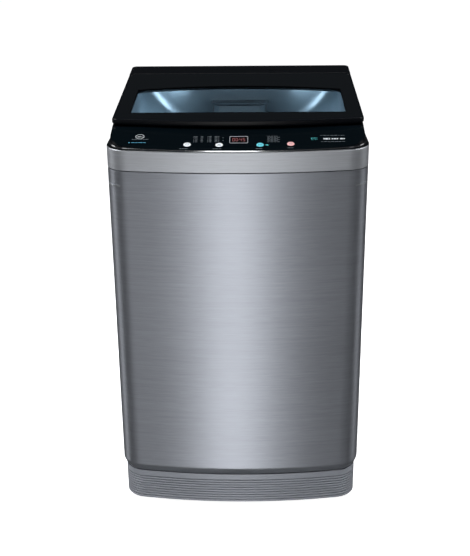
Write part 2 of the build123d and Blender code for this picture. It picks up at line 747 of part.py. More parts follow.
def basket():
    """Perforated steel basket, its base, balance ring and lint filter."""
    sheet = 1.2
    with BuildPart() as drum:
        add(disc(BASKET_RADIUS, BASKET_BOTTOM, BASKET_TOP, BASKET_RADIUS - sheet))
        for row in range(6):
            with Locations((0, TUB_Y, 330 + row * 68)):
                with PolarLocations(BASKET_RADIUS, 24, start_angle=7.5 * (row % 2)):
                    Cylinder(3, 10, rotation=(0, 90, 0), mode=Mode.SUBTRACT)
    finish(drum, "basket")
    with BuildPart() as hub:
        add(disc(BASKET_RADIUS - sheet, BASKET_BOTTOM, BASKET_BOTTOM + 8))
        add(disc(42, 233, 254))
        add(disc(SPIN_SHAFT_RADIUS, 200, 300), mode=Mode.SUBTRACT)
        with Locations((0, TUB_Y, BASKET_BOTTOM)):
            with PolarLocations(120, 8):
                Cylinder(16, 40, mode=Mode.SUBTRACT)
    finish(hub, "basket_hub")
    with BuildPart() as ring:
        add(disc(BASKET_RADIUS + 4, BASKET_TOP, BASKET_TOP + 30, 207))
        fillet(ring.faces().sort_by(Axis.Z)[-1].edges(), 6)
    finish(ring, "balance_ring")
    with BuildPart() as lint:
        add(disc(BASKET_RADIUS - sheet, 420, 600, 206))
        with Locations((0, TUB_Y + BASKET_RADIUS, 510)):
            Box(76, 60, 180, mode=Mode.INTERSECT)
        with GridLocations(18, 1, 4, 1):
            with Locations((0, TUB_Y + 206, 505)):
                Box(12, 8, 140, mode=Mode.SUBTRACT)
    finish(lint, "lint_filter")


def agitator():
    """Finned pulsator dish and the cap over its screw."""
    with BuildPart() as dish:
        with BuildSketch(Plane.XZ.offset(-TUB_Y)):
            with BuildLine():
                Polyline(
                    (0, 258), (PULSATOR_RADIUS - 6, 258), (PULSATOR_RADIUS, 264), (PULSATOR_RADIUS, 268)
                )
                Spline((PULSATOR_RADIUS, 268), (110, 266), (60, 276), (30, 292), (0, 294))
                Line((0, 294), (0, 258))
            make_face()
        revolve(axis=Axis((0, TUB_Y, 0), (0, 0, 1)))
        with BuildSketch(Plane.XY.offset(262)):
            with Locations((0, TUB_Y)):
                with PolarLocations(92, 6):
                    SlotOverall(112, 14)
        extrude(amount=20, taper=12)
        add(disc(WASH_SHAFT_RADIUS, 250, 280), mode=Mode.SUBTRACT)
        add(disc(24, 288, 300), mode=Mode.SUBTRACT)
    finish(dish, "pulsator")
    with BuildPart() as cap:
        add(disc(24, 288, 298))
        fillet(cap.faces().sort_by(Axis.Z)[-1].edges(), 4)
    finish(cap, "pulsator_cap")


def pulley(radius, bore, spot, name, hole_reach=0.0):
    """Grooved pulley, with lightening holes when it is large enough."""
    with BuildPart() as wheel:
        add(disc(radius, PULLEY_Z, PULLEY_Z + PULLEY_HEIGHT, bore, spot))
        low = BELT_LOW - BELT_GAP
        high = BELT_LOW + BELT_WIDTH + BELT_GAP
        add(disc(radius + 1, low, high, radius - GROOVE_DEPTH, spot), mode=Mode.SUBTRACT)
        if hole_reach:
            with Locations((spot[0], spot[1], PULLEY_Z)):
                with PolarLocations(hole_reach, 6):
                    Cylinder(15, 60, mode=Mode.SUBTRACT)
    finish(wheel, name)


def belt_loop(gap):
    """Outline round both pulleys at a gap from their groove floors."""
    with BuildSketch(Plane.XY.offset(BELT_LOW)) as loop:
        with Locations((0, TUB_Y)):
            Circle(DRIVE_PULLEY_RADIUS - GROOVE_DEPTH + gap)
        with Locations((MOTOR_X, TUB_Y)):
            Circle(MOTOR_PULLEY_RADIUS - GROOVE_DEPTH + gap)
        make_hull()
    return loop.sketch


def drive():
    """Shafts, bearings, gearcase, plate, motor, pulleys, belt and capacitor."""
    motor_spot = (MOTOR_X, TUB_Y)
    shaft_end = 112.0
    with BuildPart() as wash:
        add(disc(WASH_SHAFT_RADIUS, shaft_end, 280))
    finish(wash, "wash_shaft")
    with BuildPart() as spin:
        add(disc(SPIN_SHAFT_RADIUS, 150, 254, WASH_SHAFT_RADIUS + 0.5))
    finish(spin, "spin_shaft")
    with BuildPart() as bearings:
        add(disc(BEARING_RADIUS, 196, 208, SPIN_SHAFT_RADIUS + FIT))
        add(disc(BEARING_RADIUS, 216, 228, SPIN_SHAFT_RADIUS + FIT))
    finish(bearings, "bearings")
    with BuildPart() as plate:
        with BuildSketch(Plane.XY.offset(PLATE_Z)):
            with Locations((50, TUB_Y)):
                RectangleRounded(330, 210, 20)
            with Locations((0, TUB_Y)):
                Circle(SPIN_SHAFT_RADIUS + 5, mode=Mode.SUBTRACT)
        extrude(amount=4)
        for x in (-90, 190):
            for y in (-80, 80):
                add(disc(9, PLATE_Z + 4, TUB_BOTTOM, 0, (x, TUB_Y + y)))
    finish(plate, "mounting_plate")
    with BuildPart() as case:
        add(disc(58, 150, PLATE_Z))
        fillet(case.faces().sort_by(Axis.Z)[0].edges(), 10)
        add(disc(26, 142, 152))
        add(disc(SPIN_SHAFT_RADIUS + 1, 140, 200), mode=Mode.SUBTRACT)
    finish(case, "gearcase")
    with BuildPart() as motor:
        add(disc(56, 146, PLATE_Z, 0, motor_spot))
        fillet(motor.faces().sort_by(Axis.Z)[0].edges(), 8)
        add(disc(20, 140, 150, 0, motor_spot))
        with Locations((MOTOR_X, TUB_Y, 160)):
            with PolarLocations(56, 16):
                Box(6, 5, 20, mode=Mode.SUBTRACT)
        add(disc(6.5, 130, 172, 0, motor_spot), mode=Mode.SUBTRACT)
    finish(motor, "motor")
    with BuildPart() as shaft:
        add(disc(6, shaft_end, 170, 0, motor_spot))
    finish(shaft, "motor_shaft")
    pulley(DRIVE_PULLEY_RADIUS, WASH_SHAFT_RADIUS, (0, TUB_Y), "drive_pulley", 48)
    pulley(MOTOR_PULLEY_RADIUS, 6, motor_spot, "motor_pulley")
    with BuildPart() as belt:
        extrude(belt_loop(BELT_GAP + BELT_THICK), amount=BELT_WIDTH)
        extrude(belt_loop(BELT_GAP), amount=BELT_WIDTH, mode=Mode.SUBTRACT)
    finish(belt, "belt")
    with BuildPart() as capacitor:
        add(disc(17, 140, PLATE_Z, 0, (-82, TUB_Y - 72)))
    finish(capacitor, "capacitor")
    with BuildPart() as valve:
        add(disc(26, 168, TUB_BOTTOM, 0, (-150, TUB_Y + 90)))
        with Locations((-150, TUB_Y + 130, 186)):
            Cylinder(14, 60, rotation=(90, 0, 0))
            Cylinder(10, 62, rotation=(90, 0, 0), mode=Mode.SUBTRACT)
        with Locations((-150, TUB_Y + 48, 186)):
            Box(34, 44, 30)
    finish(valve, "drain_valve")


def suspension():
    """Corner brackets, ball seats, rods, spring cups and the four springs."""
    with BuildPart() as brackets:
        extrude(plan(BRACKET_Z, SHEET), amount=3)
        with Locations((0, TUB_Y, BRACKET_Z)):
            Box(360, 900, 20, mode=Mode.SUBTRACT)
            Box(900, 360, 20, mode=Mode.SUBTRACT)
        with Locations(*[(x, y, BRACKET_Z) for x, y in ROD_SPOTS]):
            Cylinder(ROD_RADIUS + 1.5, 20, mode=Mode.SUBTRACT)
    finish(brackets, "corner_brackets")
    with BuildPart() as seats:
        for spot in ROD_SPOTS:
            add(disc(14, BRACKET_Z + 3, BRACKET_Z + 12, ROD_RADIUS, spot))
        fillet(seats.faces().group_by(Axis.Z)[-1].edges().filter_by(lambda e: e.radius > 10), 5)
    finish(seats, "rod_seats")
    with BuildPart() as rods:
        for spot in ROD_SPOTS:
            add(disc(ROD_RADIUS, SPRING_FOOT - 10, ROD_TOP, 0, spot))
            add(disc(8, BRACKET_Z + 12, BRACKET_Z + 16, 0, spot))
            add(disc(SPRING_RADIUS + WIRE_RADIUS + 1, SPRING_FOOT - 4, SPRING_FOOT, 0, spot))
    finish(rods, "suspension_rods")
    with BuildPart() as cups:
        for spot in ROD_SPOTS:
            add(disc(LUG_BORE, LUG_LOW, LUG_HIGH + 4, ROD_RADIUS + 0.5, spot))
            add(disc(LUG_BORE + 5, LUG_LOW - 4, LUG_LOW, ROD_RADIUS + 0.5, spot))
    finish(cups, "spring_cups")
    coil_height = LUG_LOW - 4 - SPRING_FOOT - 2 * WIRE_RADIUS - 0.6
    with BuildPart() as spring:
        with BuildLine():
            wire = Helix(coil_height / SPRING_TURNS, coil_height, SPRING_RADIUS)
        with BuildSketch(Plane(wire @ 0, z_dir=wire % 0)):
            Circle(WIRE_RADIUS)
        sweep(is_frenet=True)
    with BuildPart() as springs:
        for x, y in ROD_SPOTS:
            with Locations((x, y, SPRING_FOOT + WIRE_RADIUS + 0.3)):
                add(spring.part)
    finish(springs, "suspension_springs")


def rear_ports():
    """Drain spigot and power-lead gland in the lower rear of the cabinet."""
    with BuildPart() as spigot:
        with BuildSketch(Plane.XZ.offset(-PORT_REACH)):
            with Locations(SPIGOT):
                Circle(SPIGOT_RADIUS)
        extrude(amount=PORT_REACH - 245)
        with BuildSketch(Plane.XZ.offset(-REAR - 3)):
            with Locations(SPIGOT):
                Circle(SPIGOT_RADIUS + 8)
        extrude(amount=3)
        with BuildSketch(Plane.XZ.offset(-PORT_REACH)):
            with Locations(SPIGOT):
                Circle(SPIGOT_RADIUS - 3)
        extrude(amount=60, mode=Mode.SUBTRACT)
    finish(spigot, "drain_spigot")
    with BuildPart() as gland:
        with BuildSketch(Plane.XZ.offset(-REAR - 4)):
            with Locations(GLAND):
                Circle(GLAND_RADIUS + 4)
        extrude(amount=4)
        with BuildSketch(Plane.XZ.offset(-REAR)):
            with Locations(GLAND):
                Circle(GLAND_RADIUS)
        extrude(amount=5)
        with BuildSketch(Plane.XZ.offset(-REAR - 4)):
            with Locations(GLAND):
                Circle(3.8)
        extrude(amount=20, mode=Mode.SUBTRACT)
    finish(gland, "cord_gland")


cabinet()
rear_panel()
base_frame()
base_plate()
feet()
front_band()
top_cover()
control_panel()
buttons()
control_board()
lid()
rear_console()
mouth_guard()
drawer()
inlet_valve()
small_electrics()
tub()
basket()
agitator()
drive()
suspension()
rear_ports()
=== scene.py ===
"""Top load washing machine: the visual model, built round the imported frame.

Lengths are in metres, +Z is up and the front faces -Y.
"""

from __future__ import annotations

import logging
import math
from dataclasses import dataclass, field
from enum import Enum
from typing import Callable, Iterable, Sequence

import bmesh
import bpy
from mathutils import Matrix, Vector


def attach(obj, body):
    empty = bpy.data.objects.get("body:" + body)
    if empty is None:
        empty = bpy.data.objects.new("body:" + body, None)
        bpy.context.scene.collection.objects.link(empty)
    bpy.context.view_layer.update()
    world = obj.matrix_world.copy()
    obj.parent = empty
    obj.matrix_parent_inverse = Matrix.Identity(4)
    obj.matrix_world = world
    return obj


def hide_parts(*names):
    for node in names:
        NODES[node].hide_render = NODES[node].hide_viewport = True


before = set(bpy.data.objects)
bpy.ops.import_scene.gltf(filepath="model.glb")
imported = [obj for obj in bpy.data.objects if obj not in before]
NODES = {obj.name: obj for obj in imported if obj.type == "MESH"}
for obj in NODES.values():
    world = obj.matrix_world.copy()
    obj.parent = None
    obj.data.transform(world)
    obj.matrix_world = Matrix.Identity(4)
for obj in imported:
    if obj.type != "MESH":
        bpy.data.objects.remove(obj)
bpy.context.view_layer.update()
LOG = logging.getLogger("washer")
MM = 0.001


class Signal:
    """A shader value that takes part in Python arithmetic and adds its own Math nodes."""

    def __init__(self, tree: bpy.types.NodeTree, socket: bpy.types.NodeSocket) -> None:
        """Wrap one output socket.

        Args:
            tree: The node tree that the socket belongs to.
            socket: The output socket.
        """
        self.tree = tree
        self.socket = socket

    def math(self, operation: str, *others: Signal | float, clamp: bool = False) -> Signal:
        """Add a Math node.

        Args:
            operation: The node's operation.
            others: The values after this one.
            clamp: Whether the result is held between 0 and 1.

        Returns:
            The node's result.
        """
        return Signal.apply(self.tree, operation, (self, *others), clamp)

    @staticmethod
    def apply(
        tree: bpy.types.NodeTree, operation: str, values: Sequence[Signal | float], clamp: bool = False
    ) -> Signal:
        """Add a Math node whose inputs are numbers or signals.

        Args:
            tree: The node tree.
            operation: The node's operation.
            values: One value for each input.
            clamp: Whether the result is held between 0 and 1.

        Returns:
            The node's result.
        """
        node = tree.nodes.new("ShaderNodeMath")
        node.operation = operation
        node.use_clamp = clamp
        for slot, value in zip(node.inputs, values):
            if isinstance(value, Signal):
                tree.links.new(value.socket, slot)
            else:
                slot.default_value = value
        return Signal(tree, node.outputs[0])

    def __add__(self, other: Signal | float) -> Signal:
        """Sum."""
        return self.math("ADD", other)

    def __radd__(self, other: float) -> Signal:
        """Sum with a number on the left."""
        return self.math("ADD", other)

    def __sub__(self, other: Signal | float) -> Signal:
        """Difference."""
        return self.math("SUBTRACT", other)

    def __rsub__(self, other: float) -> Signal:
        """A number less this signal."""
        return Signal.apply(self.tree, "SUBTRACT", (other, self))

    def __mul__(self, other: Signal | float) -> Signal:
        """Product."""
        return self.math("MULTIPLY", other)

    def __rmul__(self, other: float) -> Signal:
        """Product with a number on the left."""
        return self.math("MULTIPLY", other)

    def __truediv__(self, other: Signal | float) -> Signal:
        """Quotient."""
        return self.math("DIVIDE", other)

    def above(self, level: float, soft: float) -> Signal:
        """A soft step that rises from 0 to 1 round a level.

        Args:
            level: Where the step is half way.
            soft: The width of the step.

        Returns:
            The step, from 0 to 1.
        """
        return ((self - (level - soft / 2)) / soft).math("MULTIPLY", 1.0, clamp=True)


class Paint:
    """The node tree of one material, with one principled surface."""

    def __init__(self, name: str) -> None:
        """Start an empty material.

        Args:
            name: The material's name.
        """
        self.material = bpy.data.materials.new(name)
        self.material.use_nodes = True
        self.tree = self.material.node_tree
        self.tree.nodes.clear()
        self.surface = self.node("ShaderNodeBsdfPrincipled")
        self.output = self.node("ShaderNodeOutputMaterial")
        self.tree.links.new(self.surface.outputs[0], self.output.inputs[0])
        self.place = self.node("ShaderNodeTexCoord").outputs["Object"]

    def node(self, kind: str, settings: dict | None = None, inputs: dict | None = None) -> bpy.types.Node:
        """Add a node with its settings and inputs.

        Args:
            kind: The node's type.
            settings: Attributes set before the inputs.
            inputs: Values, sockets or signals by input name or index.

        Returns:
            The node.
        """
        made = self.tree.nodes.new(kind)
        for key, value in (settings or {}).items():
            setattr(made, key, value)
        for key, value in (inputs or {}).items():
            self.feed(made.inputs[key], value)
        return made

    def feed(self, slot: bpy.types.NodeSocket, value: object) -> None:
        """Give an input a link or a constant.

        Args:
            slot: The input socket.
            value: A signal, an output socket or a constant.
        """
        if isinstance(value, Signal):
            self.tree.links.new(value.socket, slot)
        elif isinstance(value, bpy.types.NodeSocket):
            self.tree.links.new(value, slot)
        else:
            slot.default_value = value

    def set(self, **values: object) -> None:
        """Set inputs of the surface, with underscores for spaces in their names."""
        for key, value in values.items():
            self.feed(self.surface.inputs[key.replace("_", " ")], value)

    def axis(self, index: int) -> Signal:
        """One object coordinate, 0 for X, 1 for Y and 2 for Z."""
        parts = self.node("ShaderNodeSeparateXYZ", inputs={0: self.place})
        return Signal(self.tree, parts.outputs[index])

    def noise(self, scale: float, stretch: Sequence[float] = (1, 1, 1), detail: float = 3.0) -> Signal:
        """Noise on object coordinates.

        Args:
            scale: Features per metre.
            stretch: How much denser the noise is along each axis.
            detail: Octaves.

        Returns:
            The noise, about 0.5 on average.
        """
        spread = self.node("ShaderNodeMapping", inputs={"Vector": self.place, "Scale": tuple(stretch)})
        made = self.node(
            "ShaderNodeTexNoise", inputs={"Vector": spread.outputs[0], "Scale": scale, "Detail": detail}
        )
        return Signal(self.tree, made.outputs[0])

    def blend(self, factor: Signal, low: Sequence[float], high: object) -> bpy.types.NodeSocket:
        """Mix two colours.

        Args:
            factor: 0 gives the first colour and 1 the second.
            low: The first colour.
            high: The second colour or a colour socket.

        Returns:
            The mixed colour.
        """
        mixed = self.node("ShaderNodeMix", {"data_type": "RGBA"}, {"Factor": factor})
        self.feed(mixed.inputs[6], (*low, 1.0) if isinstance(low, tuple) else low)
        self.feed(mixed.inputs[7], (*high, 1.0) if isinstance(high, tuple) else high)
        return mixed.outputs[2]

    def bump(self, height: Signal, strength: float, distance: float) -> None:
        """Feed the surface's normal from a height.

        Args:
            height: The height signal.
            strength: How much of the bump shows.
            distance: The height in metres of a full step.
        """
        made = self.node(
            "ShaderNodeBump", inputs={"Height": height, "Strength": strength, "Distance": distance}
        )
        self.feed(self.surface.inputs["Normal"], made.outputs[0])


@dataclass(frozen=True)
class Finish:
    """A plain finish with grain, a slight drift of colour and an uneven gloss."""

    name: str
    slot: str
    colour: tuple[float, float, float]
    rough: float
    metal: float = 0.0
    coat: float = 0.0
    coat_rough: float = 0.05
    grain: float = 900.0
    stretch: tuple[float, float, float] = (1.0, 1.0, 1.0)
    depth: float = 0.00002
    drift: float = 0.06
    gloss_drift: float = 0.05
    glow: float = 0.0
    shine: float = 0.5

    def material(self) -> bpy.types.Material:
        """The material, made once.

        Returns:
            The Blender material.
        """
        known = bpy.data.materials.get(self.name)
        if known:
            return known
        paint = Paint(self.name)
        self.dress(paint)
        return paint.material

    def dress(self, paint: Paint) -> None:
        """Build the finish's nodes.

        Args:
            paint: The material's tree.
        """
        fine = paint.noise(self.grain, self.stretch)
        broad = paint.noise(7.0, detail=2.0)
        dark = tuple(c * (1 - self.drift) for c in self.colour)
        light = tuple(min(1.0, c * (1 + self.drift)) for c in self.colour)
        tone = (fine * 0.6 + broad * 0.4).above(0.5, 0.4)
        paint.set(
            Base_Color=paint.blend(tone, dark, light),
            Roughness=broad * self.gloss_drift + (fine * self.gloss_drift + (self.rough - self.gloss_drift)),
            Metallic=self.metal,
            Coat_Weight=self.coat,
            Coat_Roughness=self.coat_rough,
            Specular_IOR_Level=self.shine,
        )
        paint.bump(fine, 0.35, self.depth)
        if self.glow:
            paint.set(Emission_Color=(*self.colour, 1.0), Emission_Strength=self.glow)


@dataclass(frozen=True)
class Brushed(Finish):
    """Metal brushed along one direction, with fine bright and dark lines."""

    lines: float = 0.16

    def dress(self, paint: Paint) -> None:
        """Build the brushed lines.

        Args:
            paint: The material's tree.
        """
        fine = paint.noise(self.grain, self.stretch, 4.0)
        coarse = paint.noise(self.grain / 5, self.stretch, 2.0)
        broad = paint.noise(4.0, detail=1.0)
        stroke = fine * 0.65 + coarse * 0.35
        dark = tuple(c * (1 - self.lines) for c in self.colour)
        light = tuple(min(1.0, c * (1 + self.lines)) for c in self.colour)
        paint.set(
            Base_Color=paint.blend(stroke.above(0.5, 0.5), dark, light),
            Roughness=stroke * 0.14 + broad * 0.03 + (self.rough - 0.085),
            Metallic=self.metal,
            Coat_Weight=self.coat,
            Coat_Roughness=self.coat_rough,
        )
        paint.bump(stroke, 0.5, self.depth)


@dataclass(frozen=True)
class Glazing(Finish):
    """Tinted lid glass: see-through inside the window and printed black round it."""

    clear: float = 0.14
    half: float = 0.232
    front: float = -0.1421
    back: float = 0.0602
    shoulder: float = 0.0313

    def dress(self, paint: Paint) -> None:
        """Build the printed border from the window's own outline.

        Args:
            paint: The material's tree.
        """
        across = paint.axis(0)
        along = paint.axis(1)
        fall = (self.back - self.shoulder) / self.half**2
        reach = self.back - across * across * fall
        inside = (
            across.math("ABSOLUTE").above(self.half, 0.001).math("MULTIPLY", -1.0) + 1.0
        ) * along.above(self.front, 0.001) * (reach - along).above(0.0, 0.001)
        smear = paint.noise(5.0, (1.0, 1.6, 1.0), 2.0)
        paint.set(
            Base_Color=(*self.colour, 1.0),
            Roughness=smear * 0.05 + self.rough,
            Alpha=inside * (self.clear - 1.0) + 1.0,
            Coat_Weight=self.coat,
            Coat_Roughness=self.coat_rough,
        )


class Finishes(Enum):
    """Every finish of the machine."""

    CABINET = Brushed(
        "satin_grey_metal", "cabinet", (0.335, 0.352, 0.392), 0.36, 0.92, 0.10, 0.20,
        1400.0, (0.02, 0.02, 1.0), 0.000004, 0.05, 0.02, 0.0, 0.035,
    )
    BAND = Brushed(
        "brushed_silver_band", "band", (0.50, 0.52, 0.555), 0.47, 0.95, 0.0, 0.1,
        1900.0, (0.015, 0.015, 1.0), 0.000008, 0.05, 0.02, 0.0, 0.10,
    )
    CHROME = Finish("bright_trim", "chrome", (0.82, 0.83, 0.85), 0.12, 1.0, grain=300, depth=0.000004)
    PANEL = Finish("panel_gloss_black", "panel_black", (0.0008, 0.0020, 0.0030), 0.18, grain=500, shine=0.12)
    COVER = Finish("cover_gloss_black", "cover_black", (0.0008, 0.0012, 0.0020), 0.28, grain=700, shine=0.16)
    RIM = Finish("lid_rim_black", "cover_black", (0.0012, 0.0018, 0.0030), 0.30, grain=700, shine=0.16)
    GLASS = Glazing("lid_glass_tint", "lid_glass", (0.0007, 0.0014, 0.0022), 0.035, coat=0.0)
    DISPLAY = Finish("display_dark", "display", (0.006, 0.004, 0.005), 0.12, 0.0, 0.0, 0.03, 400, shine=0.3)
    LAMP = Finish("lamp_teal", "lamp", (0.16, 0.80, 0.82), 0.30, glow=1.1, grain=300)
    LAMP_BLUE = Finish("lamp_blue", "lamp", (0.06, 0.26, 0.40), 0.35, glow=0.15, grain=300)
    DIGIT = Finish("display_digit", "display", (0.20, 0.055, 0.055), 0.4, glow=0.12, grain=300)
    FRAME_LINE = Finish("display_outline", "display", (0.30, 0.32, 0.35), 0.40, grain=400)
    PRINT = Finish("printed_grey", "panel_black", (0.12, 0.135, 0.15), 0.45, grain=400)
    PRINT_BRIGHT = Finish("printed_white", "panel_black", (0.50, 0.53, 0.56), 0.4, grain=400)
    WHITE_KEY = Finish("key_white", "button_white", (0.60, 0.62, 0.64), 0.30, 0.0, 0.2, 0.10, 400)
    # the teal key face carries a faint painted glow; the key itself is no lamp
    TEAL_KEY = Finish("key_teal_painted_glow", "button_teal", (0.09, 0.42, 0.50), 0.30, 0.0, 0.2, 0.10, 400, glow=0.10)
    PINK_KEY = Finish("key_pink", "button_pink", (0.62, 0.33, 0.33), 0.30, 0.0, 0.2, 0.10, 400)
    KEY_MARK = Finish("key_mark", "panel_black", (0.10, 0.14, 0.17), 0.4, grain=400)
    DRAWER = Finish("drawer_grey_blue", "liner", (0.25, 0.36, 0.45), 0.42, 0.10, 0.2, 0.10, 500, drift=0.03)
    LINER = Finish("liner_grey_blue", "liner", (0.14, 0.215, 0.28), 0.34, 0.50, 0.3, 0.10, 500, drift=0.03)
    BASE = Finish("base_moulded_grey", "base", (0.215, 0.228, 0.255), 0.42, 0.45, 0.0, 0.1, 1500)
    BACK = Finish("rear_galvanised", "steel", (0.42, 0.44, 0.46), 0.42, 0.85, grain=60, drift=0.12)
    WHITE = Finish("moulded_white", "white_plastic", (0.66, 0.68, 0.70), 0.42, grain=1100)
    TUB = Finish("tub_polypropylene", "tub_plastic", (0.60, 0.62, 0.64), 0.48, grain=900)
    DARK = Finish("moulded_black", "dark_plastic", (0.022, 0.023, 0.026), 0.48, grain=1300, depth=0.00004)
    DRUM = Brushed(
        "drum_stainless", "stainless", (0.60, 0.61, 0.62), 0.26, 1.0, 0.0, 0.1,
        900.0, (0.03, 0.03, 1.0), 0.000006,
    )
    STEEL = Finish("bracket_steel", "steel", (0.40, 0.42, 0.44), 0.36, 0.9, grain=80, drift=0.1)
    CAST = Finish("die_cast", "cast", (0.48, 0.49, 0.50), 0.42, 0.9, grain=700, depth=0.00006)
    GROUND = Finish("ground_steel", "shaft_steel", (0.62, 0.63, 0.65), 0.22, 1.0, grain=800)
    RUBBER = Finish("moulded_rubber", "rubber", (0.020, 0.020, 0.022), 0.62, grain=1200, depth=0.00005)
    BOARD = Finish("green_board", "board", (0.020, 0.11, 0.045), 0.38, grain=350, drift=0.2)

    def material(self) -> bpy.types.Material:
        """The Blender material of this finish."""
        return self.value.material()


class Bench:
    """The hand tools that every sub-assembly shares: operators with the selection kept clean."""

    @staticmethod
    def clear() -> None:
        """Leave edit mode and deselect everything."""
        if bpy.context.object and bpy.context.object.mode != "OBJECT":
            bpy.ops.object.mode_set(mode="OBJECT")
        bpy.ops.object.select_all(action="DESELECT")

    @staticmethod
    def take(piece: bpy.types.Object) -> None:
        """Make one piece the only selected and active one."""
        Bench.clear()
        piece.select_set(True)
        bpy.context.view_layer.objects.active = piece

    @staticmethod
    def fix(name: str) -> bpy.types.Object:
        """Name the new primitive and put its size and place into its mesh.

        Args:
            name: The piece's name.

        Returns:
            The piece.
        """
        piece = bpy.context.object
        piece.name = name
        piece.data.name = name
        bpy.ops.object.transform_apply(location=True, rotation=True, scale=True)
        return piece

    @staticmethod
    def block(name: str, low: Sequence[float], high: Sequence[float]) -> bpy.types.Object:
        """Add a box between two corners.

        Args:
            name: The piece's name.
            low: The lowest corner.
            high: The highest corner.

        Returns:
            The piece.
        """
        Bench.clear()
        middle = [(a + b) / 2 for a, b in zip(low, high)]
        bpy.ops.mesh.primitive_cube_add(size=1, location=middle)
        bpy.context.object.scale = [b - a for a, b in zip(low, high)]
        return Bench.fix(name)

    @staticmethod
    def drum(
        name: str, radius: float, low: float, high: float, spot: Sequence[float] = (0, 0), sides: int = 64
    ) -> bpy.types.Object:
        """Add an upright cylinder.

        Args:
            name: The piece's name.
            radius: Its radius.
            low: Its lowest level.
            high: Its highest level.
            spot: Its place in plan.
            sides: How many sides it has.

        Returns:
            The piece.
        """
        Bench.clear()
        bpy.ops.mesh.primitive_cylinder_add(
            vertices=sides, radius=radius, depth=high - low, location=(*spot, (low + high) / 2)
        )
        return Bench.fix(name)

    @staticmethod
    def edit(piece: bpy.types.Object, mode: str = "FACE") -> bmesh.types.BMesh:
        """Open a piece in edit mode with nothing selected.

        Args:
            piece: The piece.
            mode: The kind of element to select.

        Returns:
            The open mesh.
        """
        Bench.take(piece)
        bpy.ops.object.mode_set(mode="EDIT")
        bpy.ops.mesh.select_mode(type=mode)
        bpy.ops.mesh.select_all(action="DESELECT")
        return bmesh.from_edit_mesh(piece.data)

    @staticmethod
    def pick(piece: bpy.types.Object, elements: Iterable, test: Callable[[object], bool]) -> int:
        """Select the elements that pass a test.

        Args:
            piece: The piece in edit mode.
            elements: Its faces, edges or vertices.
            test: What each one has to pass.

        Returns:
            How many were selected.
        """
        count = 0
        for element in elements:
            if test(element):
                element.select_set(True)
                count += 1
        bmesh.update_edit_mesh(piece.data)
        return count

    @staticmethod
    def modify(piece: bpy.types.Object, kind: str, **settings: object) -> None:
        """Add a modifier and apply it.

        Args:
            piece: The piece.
            kind: The modifier's type.
            settings: Its attributes.
        """
        Bench.take(piece)
        added = piece.modifiers.new(kind.title(), kind)
        for key, value in settings.items():
            setattr(added, key, value)
        bpy.ops.object.modifier_apply(modifier=added.name)

    @staticmethod
    def cut(piece: bpy.types.Object, tool: bpy.types.Object) -> None:
        """Cut a tool's shape out of a piece and throw the tool away.

        Args:
            piece: The piece.
            tool: The closed shape to remove.
        """
        Bench.modify(piece, "BOOLEAN", operation="DIFFERENCE", object=tool, solver="EXACT")
        bpy.data.objects.remove(tool)

    @staticmethod
    def soften(piece: bpy.types.Object, width: float, segments: int = 3, angle: float = 40.0) -> None:
        """Round the sharp edges of a piece.

        Args:
            piece: The piece.
            width: The rounding's width.
            segments: Its segments.
            angle: The edges sharper than this, in degrees, are rounded.
        """
        Bench.modify(
            piece,
            "BEVEL",
            width=width,
            segments=segments,
            limit_method="ANGLE",
            angle_limit=math.radians(angle),
            use_clamp_overlap=True,
            harden_normals=False,
        )

    @staticmethod
    def smooth(piece: bpy.types.Object, angle: float = 35.0) -> None:
        """Shade smooth below an angle, with the large flat faces kept flat."""
        Bench.take(piece)
        bpy.ops.object.shade_smooth_by_angle(angle=math.radians(angle))
        Bench.modify(piece, "WEIGHTED_NORMAL", keep_sharp=True, weight=80)

    @staticmethod
    def outward(piece: bpy.types.Object) -> None:
        """Merge doubles and turn every face outwards."""
        Bench.edit(piece)
        bpy.ops.mesh.select_all(action="SELECT")
        bpy.ops.mesh.remove_doubles(threshold=0.000002)
        bpy.ops.mesh.normals_make_consistent(inside=False)
        bpy.ops.object.mode_set(mode="OBJECT")

    @staticmethod
    def join(pieces: Sequence[bpy.types.Object], name: str) -> bpy.types.Object:
        """Join several pieces into one.

        Args:
            pieces: The pieces.
            name: The joined piece's name.

        Returns:
            The joined piece.
        """
        Bench.clear()
        for piece in pieces:
            piece.select_set(True)
        bpy.context.view_layer.objects.active = pieces[0]
        bpy.ops.object.join()
        joined = bpy.context.object
        joined.name = name
        joined.data.name = name
        return joined

    @staticmethod
    def settle(piece: bpy.types.Object, placing: Matrix) -> bpy.types.Object:
        """Move a piece that was made flat to its place, in its mesh."""
        piece.data.transform(placing)
        piece.data.update()
        return piece

    @staticmethod
    def deliver(
        piece: bpy.types.Object,
        finish: Finishes,
        body: str,
        replaced: Sequence[str] = (),
        angle: float = 35.0,
    ) -> bpy.types.Object:
        """Dress a finished piece, hang it on its body and report it.

        Args:
            piece: The piece.
            finish: Its finish.
            body: The CAD body it moves with.
            replaced: The CAD nodes it stands for.
            angle: The shading angle in degrees.

        Returns:
            The piece.
        """
        Bench.smooth(piece, angle)
        piece.data.materials.clear()
        piece.data.materials.append(finish.material())
        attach(piece, body)
        if replaced:
            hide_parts(*replaced)
        LOG.info("%s: %d faces", piece.name, len(piece.data.polygons))
        return piece


